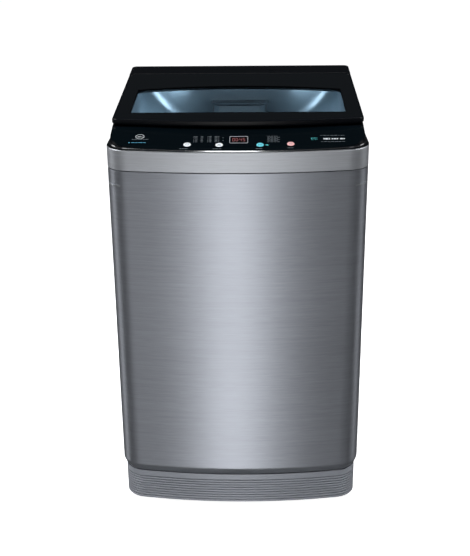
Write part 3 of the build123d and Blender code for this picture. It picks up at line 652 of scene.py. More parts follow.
@dataclass
class PlanOutline:
    """The machine's outline in plan: straight sides, a bowed front and rounded corners."""

    half: float = 0.275
    corner_y: float = -0.257
    centre_y: float = -0.285
    rear_y: float = 0.268
    front_radius: float = 0.040
    rear_radius: float = 0.018
    front_cuts: int = 11
    corner_steps: int = 8

    @property
    def middle_y(self) -> float:
        """The middle of the outline from front corners to rear."""
        return (self.corner_y + self.rear_y) / 2

    def bow(self, x: float) -> float:
        """How far the front stands out of its corners' line at a place across.

        Args:
            x: The place across.

        Returns:
            The distance towards the front.
        """
        rise = self.corner_y - self.centre_y
        if rise <= 0:
            return 0.0
        radius = (self.half**2 + rise**2) / (2 * rise)
        return math.sqrt(radius**2 - x**2) - (radius - rise)

    def plate(self, name: str, level: float) -> bpy.types.Object:
        """A single flat face of the outline's shape, open in edit mode.

        Args:
            name: The piece's name.
            level: Its height.

        Returns:
            The piece.
        """
        Bench.clear()
        bpy.ops.mesh.primitive_plane_add(size=1, location=(0, self.middle_y, level))
        bpy.context.object.scale = (2 * self.half, self.rear_y - self.corner_y, 1)
        piece = Bench.fix(name)
        mesh = Bench.edit(piece, "EDGE")
        Bench.pick(piece, mesh.edges, lambda e: all(v.co.y < self.middle_y for v in e.verts))
        bpy.ops.mesh.subdivide(number_cuts=self.front_cuts)
        bpy.ops.mesh.select_mode(type="VERT")
        pitch = 2 * self.half / (self.front_cuts + 1)
        for step in range(1, self.front_cuts + 1):
            place = -self.half + step * pitch
            mesh = bmesh.from_edit_mesh(piece.data)
            bpy.ops.mesh.select_all(action="DESELECT")
            Bench.pick(
                piece, mesh.verts, lambda v: abs(v.co.x - place) < pitch / 4 and v.co.y < self.middle_y
            )
            bpy.ops.transform.translate(value=(0, -self.bow(place), 0))
        for front, radius in ((True, self.front_radius), (False, self.rear_radius)):
            if radius <= 0:
                continue
            mesh = bmesh.from_edit_mesh(piece.data)
            bpy.ops.mesh.select_all(action="DESELECT")
            Bench.pick(
                piece,
                mesh.verts,
                lambda v: abs(v.co.x) > self.half - 0.001 and (v.co.y < self.middle_y) == front,
            )
            bpy.ops.mesh.bevel(
                offset=radius, segments=self.corner_steps, affect="VERTICES", offset_type="OFFSET"
            )
        bpy.ops.mesh.select_mode(type="FACE")
        bpy.ops.mesh.select_all(action="SELECT")
        return piece

    def raise_to(self, here: float, there: float, inset: Sequence[float], was: Sequence[float]) -> None:
        """Extrude the selected face to the next level and draw it in or out.

        Args:
            here: The level now.
            there: The next level.
            inset: How far the sides and the ends are drawn in at the next level.
            was: The same for this level.
        """
        bpy.ops.mesh.extrude_region_move(TRANSFORM_OT_translate={"value": (0, 0, there - here)})
        length = self.rear_y - self.centre_y
        wide = (self.half - inset[0]) / (self.half - was[0])
        deep = (length / 2 - inset[1]) / (length / 2 - was[1])
        if (wide, deep) != (1.0, 1.0):
            middle = (self.rear_y + self.centre_y) / 2
            bpy.ops.transform.resize(value=(wide, deep, 1), center_override=(0, middle, there))

    def wrap(self, name: str, profile: Sequence[Sequence[float]], ring: bool = True) -> bpy.types.Object:
        """Carry a profile of (height, inset) points round the outline.

        Args:
            name: The piece's name.
            profile: Heights with their insets, and a third value where the ends' inset differs.
            ring: Whether the last loop is bridged to the first, which leaves the middle open.

        Returns:
            The closed piece, in object mode.
        """
        points = [(p[0], (p[1], p[2] if len(p) > 2 else p[1])) for p in profile]
        first = points[0]
        piece = self.plate(name, first[0])
        if first[1] != (0, 0):
            length = self.rear_y - self.centre_y
            bpy.ops.transform.resize(
                value=(1 - first[1][0] / self.half, 1 - 2 * first[1][1] / length, 1),
                center_override=(0, (self.rear_y + self.centre_y) / 2, first[0]),
            )
        for (here, was), (there, inset) in zip(points, points[1:]):
            self.raise_to(here, there, inset, was)
        if ring:
            bpy.ops.mesh.delete(type="FACE")
            mesh = bmesh.from_edit_mesh(piece.data)
            most = max(len(f.verts) for f in mesh.faces)
            Bench.pick(piece, mesh.faces, lambda f: len(f.verts) == most and most > 4)
            bpy.ops.mesh.delete(type="FACE")
            bpy.ops.mesh.select_mode(type="EDGE")
            mesh = bmesh.from_edit_mesh(piece.data)
            Bench.pick(piece, mesh.edges, lambda e: e.is_boundary)
            bpy.ops.mesh.bridge_edge_loops()
        Bench.outward(piece)
        return piece


PANEL_TILT = math.radians(17.0)
LID_TILT = math.radians(4.58)
LID_PLACE = Matrix.Translation((0, -0.184, 0.9065)) @ Matrix.Rotation(LID_TILT, 4, "X")
PANEL_PLACE = Matrix.Translation((0, -0.283, 0.862)) @ Matrix.Rotation(PANEL_TILT, 4, "X")
TRIM_PLACE = Matrix.Translation((0, -0.285, 0.8602)) @ Matrix.Rotation(math.radians(6.5), 4, "X")
DECK_DROP = 0.015
PANEL_THICK = 0.002


def trim_above(piece: bpy.types.Object, place: Matrix, lift: float, keep_below: bool = True) -> None:
    """Bisect a piece with a tilted plane, close the cut and keep one side.

    Args:
        piece: The piece.
        place: The plane's placing.
        lift: How far the cut stands above that plane.
        keep_below: Whether the part below the cut is kept.
    """
    up = (place.to_3x3() @ Vector((0, 0, 1))).normalized()
    point = place @ Vector((0, 0, lift))
    Bench.edit(piece)
    bpy.ops.mesh.select_all(action="SELECT")
    bpy.ops.mesh.bisect(
        plane_co=point, plane_no=up, use_fill=True, clear_outer=keep_below, clear_inner=not keep_below
    )
    bpy.ops.object.mode_set(mode="OBJECT")


@dataclass
class Housing:
    """Cabinet skin, silver band and ribbed base."""

    outline: PlanOutline = field(default_factory=PlanOutline)
    sheet: float = 0.0012
    skin_low: float = 0.0912
    skin_high: float = 0.8140
    curl_height: float = 0.019
    curl_inset: float = 0.0072
    band_low: float = 0.8150
    band_high: float = 0.8600
    base_low: float = 0.0150
    base_high: float = 0.0900
    base_inset: float = 0.0055
    base_wall: float = 0.0060
    rib_first: float = 0.0210
    rib_pitch: float = 0.0065
    rib_gap: float = 0.0026
    rib_depth: float = 0.0022
    rib_count: int = 9
    foot_x: float = 0.228
    foot_y: float = 0.215
    block_top: float = 0.045
    block_inset: float = 0.009
    block_reach: tuple[float, float] = (-0.035, 0.075)
    window_half: float = 0.225
    window_low: float = 0.160
    window_high: float = 0.760
    window_depth: tuple[float, float] = (0.262, 0.280)

    def skin(self) -> bpy.types.Object:
        """The bowed sheet-metal wrap, curled in at its foot, with its service window.

        Returns:
            The piece.
        """
        steps = 6
        curl = []
        for step in range(steps + 1):
            turn = step / steps * math.pi / 2
            curl.append(
                (
                    self.skin_low + self.curl_height * math.sin(turn),
                    self.curl_inset * (1 - math.sin(turn)) ** 1.6,
                )
            )
        top = self.skin_high
        profile = curl + [
            (top - 0.0016, 0.0),
            (top - 0.0005, 0.0004),
            (top, 0.0015),
            (top, 0.0135),
            (top - self.sheet, 0.0135),
            (top - self.sheet, self.sheet + 0.001),
            (self.skin_low + self.curl_height, self.sheet),
            (self.skin_low, self.curl_inset + self.sheet),
        ]
        skin = self.outline.wrap("cabinet_skin", profile)
        near, far = self.window_depth
        low, high = (-self.window_half, near, self.window_low), (self.window_half, far, self.window_high)
        Bench.cut(skin, Bench.block("window_tool", low, high))
        return Bench.deliver(skin, Finishes.CABINET, "cabinet_body", ("cabinet",))

    def band(self) -> bpy.types.Object:
        """The brushed band, rounded at its top and shadowed by a gap at its foot.

        Returns:
            The piece.
        """
        low, high = self.band_low, self.band_high
        profile = [
            (low, 0.0009),
            (low + 0.0006, 0.0002),
            (low + 0.0014, 0.0),
            (high - 0.0036, 0.0),
            (high - 0.0020, 0.0005),
            (high - 0.0008, 0.0015),
            (high, 0.0034),
            (high - 0.0014, 0.0040),
            (low, 0.0030),
        ]
        band = self.outline.wrap("silver_band", profile)
        return Bench.deliver(band, Finishes.BAND, "cabinet_body", ("front_band",))

    def ribs(self) -> list[tuple[float, float]]:
        """Heights and insets of the ribbed outer wall, from its foot to its lip."""
        edge = 0.0005
        points = [(self.base_low, self.base_inset + 0.0012), (self.base_low + 0.0014, self.base_inset)]
        for index in range(self.rib_count):
            low = self.rib_first + index * self.rib_pitch
            high = low + self.rib_gap
            points += [
                (low - edge, self.base_inset),
                (low, self.base_inset + edge),
                (low + edge, self.base_inset + self.rib_depth),
                (high - edge, self.base_inset + self.rib_depth),
                (high, self.base_inset + edge),
                (high + edge, self.base_inset),
            ]
        return points

    def base(self) -> bpy.types.Object:
        """The ribbed base ring with a block inside each corner.

        Returns:
            The piece.
        """
        high = self.base_high
        inner = self.base_inset + self.base_wall
        profile = self.ribs() + [
            (high - 0.0016, self.base_inset),
            (high - 0.0005, self.base_inset + 0.0005),
            (high, self.base_inset + 0.0018),
            (high, inner),
            (self.base_low, inner),
        ]
        ring = self.outline.wrap("base_ring", profile)
        top = self.block_top
        room = self.outline.wrap(
            "room_tool", [(self.base_low, self.block_inset), (top, self.block_inset)], ring=False
        )
        corners = []
        for x_side in (-1, 1):
            for y_side in (-1, 1):
                left, right = sorted(x_side * (self.foot_x + reach) for reach in self.block_reach)
                front, rear = sorted(y_side * (self.foot_y + reach) for reach in self.block_reach)
                low, high = (left, front, self.base_low), (right, rear, top)
                corners.append(Bench.block(f"block_{x_side}_{y_side}", low, high))
        blocks = Bench.join(corners, "foot_blocks")
        Bench.modify(blocks, "BOOLEAN", operation="INTERSECT", object=room, solver="EXACT")
        bpy.data.objects.remove(room)
        Bench.soften(blocks, 0.0015, 2)
        base = Bench.join([ring, blocks], "base_ring")
        return Bench.deliver(base, Finishes.BASE, "cabinet_body", ("base_frame",))

    def build(self) -> None:
        """Make and dress the housing."""
        self.skin()
        self.band()
        self.base()


@dataclass
class Key:
    """One round push button and the marks round it."""

    node: str
    body: str
    across: float
    along: float
    finish: Finishes


@dataclass
class Console:
    """Flared black cover, sloped glossy panel with its bright trim, keys and marks."""

    outline: PlanOutline = field(default_factory=PlanOutline)
    foot: float = 0.8603
    flare: float = 0.0095
    flare_height: float = 0.0075
    wall: float = 0.003
    shelf_y: float = 0.242
    panel_rear: float = -0.190
    trim_gap: float = 0.0004
    trim_width: float = 0.0016
    trim_height: float = 0.0018
    mouth_half: float = 0.2365
    mouth_front: float = -0.1645
    mouth_back: float = 0.1585
    key_radius: float = 0.0090
    key_gap: float = 0.0004
    key_proud: float = 0.0010
    key_bezel: float = 0.0010
    key_seam: float = 0.0004
    ink: float = 0.00015
    display_centre: tuple[float, float] = (0.003, 0.043)
    display_size: tuple[float, float] = (0.038, 0.027)
    keys: tuple[Key, ...] = (
        Key("program_button", "program_key", -0.103, 0.024, Finishes.WHITE_KEY),
        Key("level_button", "level_key", -0.037, 0.022, Finishes.WHITE_KEY),
        Key("start_button", "start_key", 0.047, 0.022, Finishes.TEAL_KEY),
        Key("power_button", "power_key", 0.110, 0.025, Finishes.PINK_KEY),
    )

    list_top: float = 56.0
    captions: tuple[tuple, ...] = (
        (-219, 46, (4, 6, 3, 5, 4, 6), 1.1),
        (-119, 9.5, (5, 4, 6), 1.2),
        (-50, 8, (4, 6, 5), 1.2),
        (38, 8, (5, 7), 1.2),
        (103, 10.5, (6, 5), 1.2),
        (172, 58.5, (5, 7, 4, 8, 6, 5, 7), 0.9),
        (172, 34.0, (5, 7, 4, 8, 6, 5, 7), 0.9),
    )
    icons: tuple[tuple, ...] = (
        (178, (2.6, 6.0, 2.0), 5.0),
        (195, (3.0, 4.6, 3.0), 4.2),
        (212, (6.0, 2.4), 4.2),
    )

    def flared(self, name: str, inset: float, drop: float = 0.0) -> bpy.types.Object:
        """Closed block whose sides sweep in above the band.

        Args:
            name: The piece's name.
            inset: How far it is drawn in all round.
            drop: How far its foot reaches below the band's top.

        Returns:
            The block.
        """
        rises = (0.0, 0.0016, 0.0036, 0.0062, 0.0095, 0.0135, 0.0185, 0.0260, 0.0360, 0.0900)
        profile = []
        for rise in rises:
            level = self.foot + rise if rise else self.foot - drop
            draw = self.flare * (1 - math.exp(-rise / self.flare_height))
            profile.append((level, inset + draw, inset))
        return self.outline.wrap(name, profile, ring=False)

    def cover(self) -> bpy.types.Object:
        """The moulded cover: flared walls, slope, deck with the mouth and rear shelf.

        Returns:
            The piece.
        """
        cover = self.flared("cover_moulding", 0.0)
        trim_above(cover, LID_PLACE, -DECK_DROP)
        trim_above(cover, PANEL_PLACE, -PANEL_THICK)
        Bench.cut(cover, Bench.block("shelf_tool", (-0.4, self.shelf_y, 0.8626), (0.4, 0.4, 1.0)))
        hollow = self.flared("hollow_tool", self.wall, 0.001)
        trim_above(hollow, LID_PLACE, -DECK_DROP - self.wall)
        trim_above(hollow, PANEL_PLACE, -PANEL_THICK - self.wall)
        Bench.cut(hollow, Bench.block("back_tool", (-0.4, self.shelf_y - self.wall, 0.8), (0.4, 0.4, 1.0)))
        Bench.cut(cover, hollow)
        mouth = Bench.block(
            "mouth_tool", (-self.mouth_half, self.mouth_front, 0.85), (self.mouth_half, self.mouth_back, 1.0)
        )
        Bench.cut(cover, mouth)
        Bench.cut(cover, self.bead("bead_tool", -0.001))
        Bench.soften(cover, 0.0010, 2, 30.0)
        return Bench.deliver(cover, Finishes.COVER, "cabinet_body", ("top_cover",), 40.0)

    def slab(self, name: str, inset: float, lift: float = 0.0) -> bpy.types.Object:
        """Thin layer of the flared block on the slope.

        Args:
            name: The piece's name.
            inset: How far it is drawn in.
            lift: How far its face stands above the slope's plane.

        Returns:
            The layer.
        """
        layer = self.flared(name, inset)
        trim_above(layer, PANEL_PLACE, lift)
        trim_above(layer, PANEL_PLACE, -PANEL_THICK, keep_below=False)
        end = Matrix.Translation((0, self.panel_rear, 0)) @ Matrix.Rotation(-math.pi / 2, 4, "X")
        trim_above(layer, end, 0.0)
        return layer

    def bead(self, name: str, outer: float) -> bpy.types.Object:
        """Narrow ring round the foot of the flare, from one side to the other.

        Args:
            name: The piece's name.
            outer: How far its outer face is drawn in.

        Returns:
            The ring.
        """
        ring = self.flared(name, outer)
        Bench.cut(ring, self.flared("bead_core", self.trim_gap + self.trim_width, 0.002))
        trim_above(ring, TRIM_PLACE, 0.0, keep_below=False)
        trim_above(ring, TRIM_PLACE, self.trim_height)
        end = Matrix.Translation((0, self.panel_rear, 0)) @ Matrix.Rotation(-math.pi / 2, 4, "X")
        trim_above(ring, end, 0.0)
        return ring

    def holes(self) -> bpy.types.Object:
        """The cutting tool for the four keys and the display, in one piece."""
        tools = []
        for key in self.keys:
            hole = Bench.drum(
                "key_hole", self.key_radius + self.key_gap, -0.01, 0.01, (key.across, key.along), 48
            )
            tools.append(hole)
        x, y = self.display_centre
        wide, deep = self.display_size
        slot = Bench.block(
            "display_hole", (x - wide / 2, y - deep / 2, -0.0012), (x + wide / 2, y + deep / 2, 0.01)
        )
        Bench.modify(
            slot, "BEVEL", width=0.003, segments=5, limit_method="ANGLE", angle_limit=1.2, affect="EDGES"
        )
        tools.append(slot)
        return Bench.settle(Bench.join(tools, "panel_holes"), PANEL_PLACE)

    def panel(self) -> None:
        """The sloped panel and the bright bead at its foot."""
        panel = self.slab("sloped_panel", self.trim_gap)
        Bench.cut(panel, self.bead("bead_tool", -0.001))
        Bench.cut(panel, self.holes())
        Bench.soften(panel, 0.0004, 2, 50.0)
        Bench.deliver(panel, Finishes.PANEL, "cabinet_body", ("control_panel",))
        trim = self.bead("bright_trim", 0.0001)
        Bench.soften(trim, 0.0004, 2, 50.0)
        Bench.deliver(trim, Finishes.CHROME, "cabinet_body", ("chrome_trim",))

    def mark(
        self, name: str, low: Sequence[float], high: Sequence[float], up: float = 0.0
    ) -> bpy.types.Object:
        """A thin printed dash on the panel, given by its corners in millimetres."""
        first, last = ((x * MM, y * MM) for x, y in (low, high))
        return Bench.block(name, (*first, up), (*last, up + self.ink))

    def loop(
        self, name: str, spot: Sequence[float], radius: float, line: float, up: float
    ) -> bpy.types.Object:
        """A thin printed ring on the panel, given in millimetres."""
        place = [value * MM for value in spot]
        ring = Bench.drum(name, radius * MM, up, up + self.ink, place, 40)
        Bench.cut(ring, Bench.drum("ring_core", (radius - line) * MM, up - MM, up + MM, place, 40))
        return ring

    def finish_marks(self, marks: list[bpy.types.Object], name: str, finish: Finishes, body: str) -> None:
        """Join printed marks into one piece, lay it on the slope and dress it."""
        piece = Bench.settle(Bench.join(marks, name), PANEL_PLACE)
        Bench.deliver(piece, finish, body)

    def buttons(self) -> None:
        """The four push keys, each dished on top, with a plain symbol."""
        top = self.key_proud
        for key in self.keys:
            cap = Bench.drum(f"{key.body}_cap", self.key_radius, -0.007, top, (key.across, key.along), 72)
            mesh = Bench.edit(cap)
            Bench.pick(cap, mesh.faces, lambda face: face.normal.z > 0.9)
            bpy.ops.mesh.inset(thickness=self.key_bezel, depth=0.0)
            bpy.ops.mesh.inset(thickness=0.0002, depth=-0.0008)
            bpy.ops.object.mode_set(mode="OBJECT")
            Bench.soften(cap, 0.0003, 3, 50.0)
            Bench.settle(cap, PANEL_PLACE)
            Bench.deliver(cap, Finishes.PANEL, key.body, (key.node,))
            radius = self.key_radius - self.key_bezel - self.key_seam
            low, high = top - 0.0012, top - 0.0002
            face = Bench.drum(f"{key.body}_face", radius, low, high, (key.across, key.along), 72)
            Bench.soften(face, self.key_seam, 3, 50.0)
            Bench.settle(face, PANEL_PLACE)
            Bench.deliver(face, key.finish, key.body)
            self.finish_marks(self.symbol(key), f"{key.body}_symbol", Finishes.KEY_MARK, key.body)

    def symbol(self, key: Key) -> list[bpy.types.Object]:
        """The plain symbol on one key.

        Args:
            key: The key.

        Returns:
            Its marks.
        """
        x, y = key.across * 1000, key.along * 1000
        up = self.key_proud - 0.00024
        name = f"{key.body}_symbol"
        if key.body == "power_key":
            stem = self.mark(name, (x - 0.5, y), (x + 0.5, y + 4.4), up)
            return [self.loop(name, (x, y), 3.4, 0.8, up), stem]
        if key.body == "start_key":
            bars = [self.mark(name, (x + s, y - 2.6), (x + s + 1.0, y + 2.6), up) for s in (0.8, 2.8)]
            steps = [(-3.8, 2.8), (-2.9, 2.0), (-2.0, 1.2), (-1.1, 0.5)]
            return bars + [self.mark(name, (x + s, y - h), (x + s + 0.9, y + h), up) for s, h in steps]
        if key.body == "level_key":
            rows = ((-2.8, 4.6), (-0.5, 3.6), (1.8, 2.4))
            return [self.mark(name, (x - w, y + r), (x + w, y + r + 1.1), up) for r, w in rows]
        dots = [self.mark(name, (x + s - 0.6, y - 0.6), (x + s + 0.6, y + 0.6), up) for s in (-1.4, 1.4)]
        return [self.loop(name, (x, y), 4.2, 0.9, up)] + dots

    def digits(self) -> list[bpy.types.Object]:
        """Seven-segment figures of the remaining time."""
        lit = {"0": "abcdef", "4": "fgbc", "5": "afgcd"}
        cells = {
            "a": (0.0, 5.2, 3.6, 6.0), "d": (0.0, -6.0, 3.6, -5.2), "g": (0.0, -0.4, 3.6, 0.4),
            "f": (-0.4, 0.6, 0.4, 5.0), "b": (3.2, 0.6, 4.0, 5.0),
            "e": (-0.4, -5.0, 0.4, -0.6), "c": (3.2, -5.0, 4.0, -0.6),
        }
        x, y = (1000 * place for place in self.display_centre)
        marks = []
        for figure, shift in (("0", -12.6), ("0", -6.0), ("4", 2.2), ("5", 8.8)):
            for segment in lit[figure]:
                left, foot, right, head = cells[segment]
                low = (x + shift + left, y + foot)
                marks.append(self.mark("figures", low, (x + shift + right, y + head)))
        for level in (-2.6, 1.8):
            marks.append(self.mark("figures", (x - 0.7, y + level), (x + 0.1, y + level + 0.9)))
        return marks

    def frame_marks(self) -> list[bpy.types.Object]:
        """Thin rounded outline round the display."""
        x, y = self.display_centre
        wide, deep = self.display_size
        plates = []
        layers = (("display_frame", 0, 0, 0, 0.0002), ("frame_core", 0.9, 1.2, -0.01, 0.01))
        for name, side, end, low, high in layers:
            across, along = wide / 2 - side * MM, deep / 2 - end * MM
            plates.append(Bench.block(name, (x - across, y - along, low), (x + across, y + along, high)))
        outer, inner = plates
        for plate, radius in ((outer, 0.003), (inner, 0.0022)):
            mesh = Bench.edit(plate, "EDGE")
            Bench.pick(plate, mesh.edges, lambda e: abs(e.verts[0].co.z - e.verts[1].co.z) > 0.0001)
            bpy.ops.mesh.bevel(offset=radius, segments=6, affect="EDGES")
            bpy.ops.object.mode_set(mode="OBJECT")
        Bench.cut(outer, inner)
        return [outer]

    def dashes(
        self, name: str, start: Sequence[float], widths: Sequence[float], tall: float
    ) -> list[bpy.types.Object]:
        """A row of printed dashes standing for small captions.

        Args:
            name: The marks' name.
            start: Where the row begins, in millimetres.
            widths: The dashes' widths.
            tall: Their height.

        Returns:
            The dashes.
        """
        marks = []
        x, y = start
        for width in widths:
            marks.append(self.mark(name, (x, y - tall / 2), (x + width, y + tall / 2)))
            x += width + 1.3
        return marks

    def prints(self) -> None:
        """The printed rows, the lit symbols, the display's figures and its frame."""
        body = "cabinet_body"
        grey, bright, blue = "caption_marks", "symbol_marks", "accent_marks"
        rows = list(self.captions)
        for row in range(5):
            level = self.list_top - row * 5.2
            rows += [(-91, level, (2, 5), 1.1), (-76, level, (5,), 0.9)]
            rows += [(-62, level, (2, 5), 1.1), (-47, level, (6, 2), 1.1)]
            rows += [(-31, level, (3,), 0.8)] if row % 2 else []
        for row in range(6):
            rows.append((62, self.list_top - row * 4.4, (4, 7, 5, 6) if row % 2 else (6, 5, 8), 0.9))
        dim = [mark for x, y, widths, tall in rows for mark in self.dashes(grey, (x, y), widths, tall)]
        self.finish_marks(dim, grey, Finishes.PRINT, body)
        lit = [mark for x, widths, tall in self.icons for mark in self.dashes(bright, (x, 45), widths, tall)]
        lit += [self.loop(bright, (-203, 57), 9.0, 0.8, 0.0)]
        lit += [self.mark(bright, (-208, 55 + s), (-198, 55.8 + s)) for s in (-0.6, 2.6)]
        self.finish_marks(lit, bright, Finishes.PRINT_BRIGHT, body)
        accent = [self.mark(blue, (-225, 32), (-222, 35))]
        accent += self.dashes(blue, (-219, 33.5), (7, 5, 8, 6), 1.5)
        self.finish_marks(accent, blue, Finishes.LAMP_BLUE, body)
        self.finish_marks(self.digits(), "display_figures", Finishes.DIGIT, body)
        self.finish_marks(self.frame_marks(), "display_frame", Finishes.FRAME_LINE, body)

    def build(self) -> None:
        """Make and dress the cover, panel, keys and marks."""
        self.cover()
        self.panel()
        self.buttons()
        self.prints()


@dataclass
class Lid:
    """Tilted lid: black rim with a window opening, hinge notches and tinted glass."""

    half: float = 0.267
    bow: float = 0.021
    rear: float = 0.354
    thick: float = 0.012
    glass_inset: float = 0.005
    glass_thick: float = 0.004
    hinge_along: float = 0.349
    hinge_radius: float = 0.005
    window_half: float = 0.232
    window_front: float = 0.042
    window_shoulder: float = 0.216
    window_back: float = 0.245
    window_corner: float = 0.026
    draft: float = 0.014
    notch: float = 0.006
    notch_span: tuple[float, float] = (0.258, 0.280)
    ear_start: float = 0.2573
    ear_along: float = 0.3368

    def outline(self, inset: float, rear: float, radius: float) -> PlanOutline:
        """The lid's outline on its own plane.

        Args:
            inset: How far it is drawn in.
            rear: Where it ends at the back.
            radius: Its front corners' radius.

        Returns:
            The outline.
        """
        return PlanOutline(self.half - inset, inset, inset - self.bow, rear, radius, 0.0)

    def window(self, depth: float) -> bpy.types.Object:
        """Cutting tool of the window's shape, with its bowed back edge.

        Args:
            depth: How far it reaches above the lid's face.

        Returns:
            The tool, on the lid's own plane.
        """
        turned = PlanOutline(
            self.window_half,
            -self.window_shoulder,
            -self.window_back,
            -self.window_front,
            self.window_corner,
            0.002,
        )
        under = self.glass_thick
        draft = [(-self.thick - 0.0001, -self.draft), (-under, 0.0), (depth, 0.0)]
        tool = turned.wrap("window_tool", [(z, inset, inset) for z, inset in draft], ring=False)
        return Bench.settle(tool, Matrix.Rotation(math.pi, 4, "Z"))

    def nose_tool(self) -> bpy.types.Object:
        """Cutting tool that leaves a round nose along the hinge line."""
        reach = self.half + 0.02
        tool = Bench.block(
            "nose_tool",
            (-reach, self.hinge_along, -self.hinge_radius),
            (reach, self.hinge_along + 0.02, 0.01),
        )
        Bench.clear()
        bpy.ops.mesh.primitive_cylinder_add(
            vertices=48,
            radius=self.hinge_radius,
            depth=2 * reach + 0.02,
            location=(0, self.hinge_along, -self.hinge_radius),
            rotation=(0, math.pi / 2, 0),
        )
        Bench.cut(tool, Bench.fix("nose_bar"))
        return tool

    def rim(self) -> bpy.types.Object:
        """The lid's black frame: rounded edge, glass recess, window and hinge notches.

        Returns:
            The piece.
        """
        deep = self.thick
        edge = [
            (-deep, 0.0030),
            (-deep + 0.0008, 0.0012),
            (-deep + 0.0025, 0.0002),
            (-deep + 0.0045, 0.0),
            (-0.0040, 0.0),
            (-0.0022, 0.0003),
            (-0.0010, 0.0010),
            (-0.0002, 0.0022),
            (0.0, 0.0036),
        ]
        plan = self.outline(0.0, self.rear, 0.009)
        rim = plan.wrap("lid_rim", [(z, draw, draw / 2) for z, draw in edge], ring=False)
        Bench.cut(rim, self.nose_tool())
        recess = self.outline(self.glass_inset, self.hinge_along - self.glass_inset, 0.004)
        Bench.cut(rim, recess.wrap("recess_tool", [(-self.glass_thick, 0.0), (0.01, 0.0)], ring=False))
        Bench.cut(rim, self.window(0.03))
        for side in (-1, 1):
            low, high = sorted(side * edge for edge in self.notch_span)
            near = self.hinge_along - self.notch
            Bench.cut(rim, Bench.block("notch_tool", (low, near, -0.02), (high, 0.4, 0.01)))
        Bench.settle(rim, LID_PLACE)
        return Bench.deliver(rim, Finishes.RIM, "lid", ("lid_frame",), 30.0)

    def glass(self) -> bpy.types.Object:
        """The tinted pane, flush in the rim, with a ground edge.

        Returns:
            The piece.
        """
        plan = self.outline(self.glass_inset + 0.0002, self.hinge_along - self.glass_inset - 0.0002, 0.004)
        edge = [
            (-self.glass_thick, 0.0),
            (-0.0007, 0.0),
            (-0.0002, 0.0002),
            (0.0, 0.0007),
        ]
        pane = plan.wrap("lid_pane", edge, ring=False)
        for side in (-1, 1):
            near, far = sorted((side * self.ear_start, side * 0.30))
            Bench.cut(pane, Bench.block("ear_room", (near, self.ear_along, -0.02), (far, 0.40, 0.02)))
        Bench.settle(pane, LID_PLACE)
        return Bench.deliver(pane, Finishes.GLASS, "lid", ("lid_glass",))

    def build(self) -> None:
        """Make and dress the lid."""
        self.rim()
        self.glass()


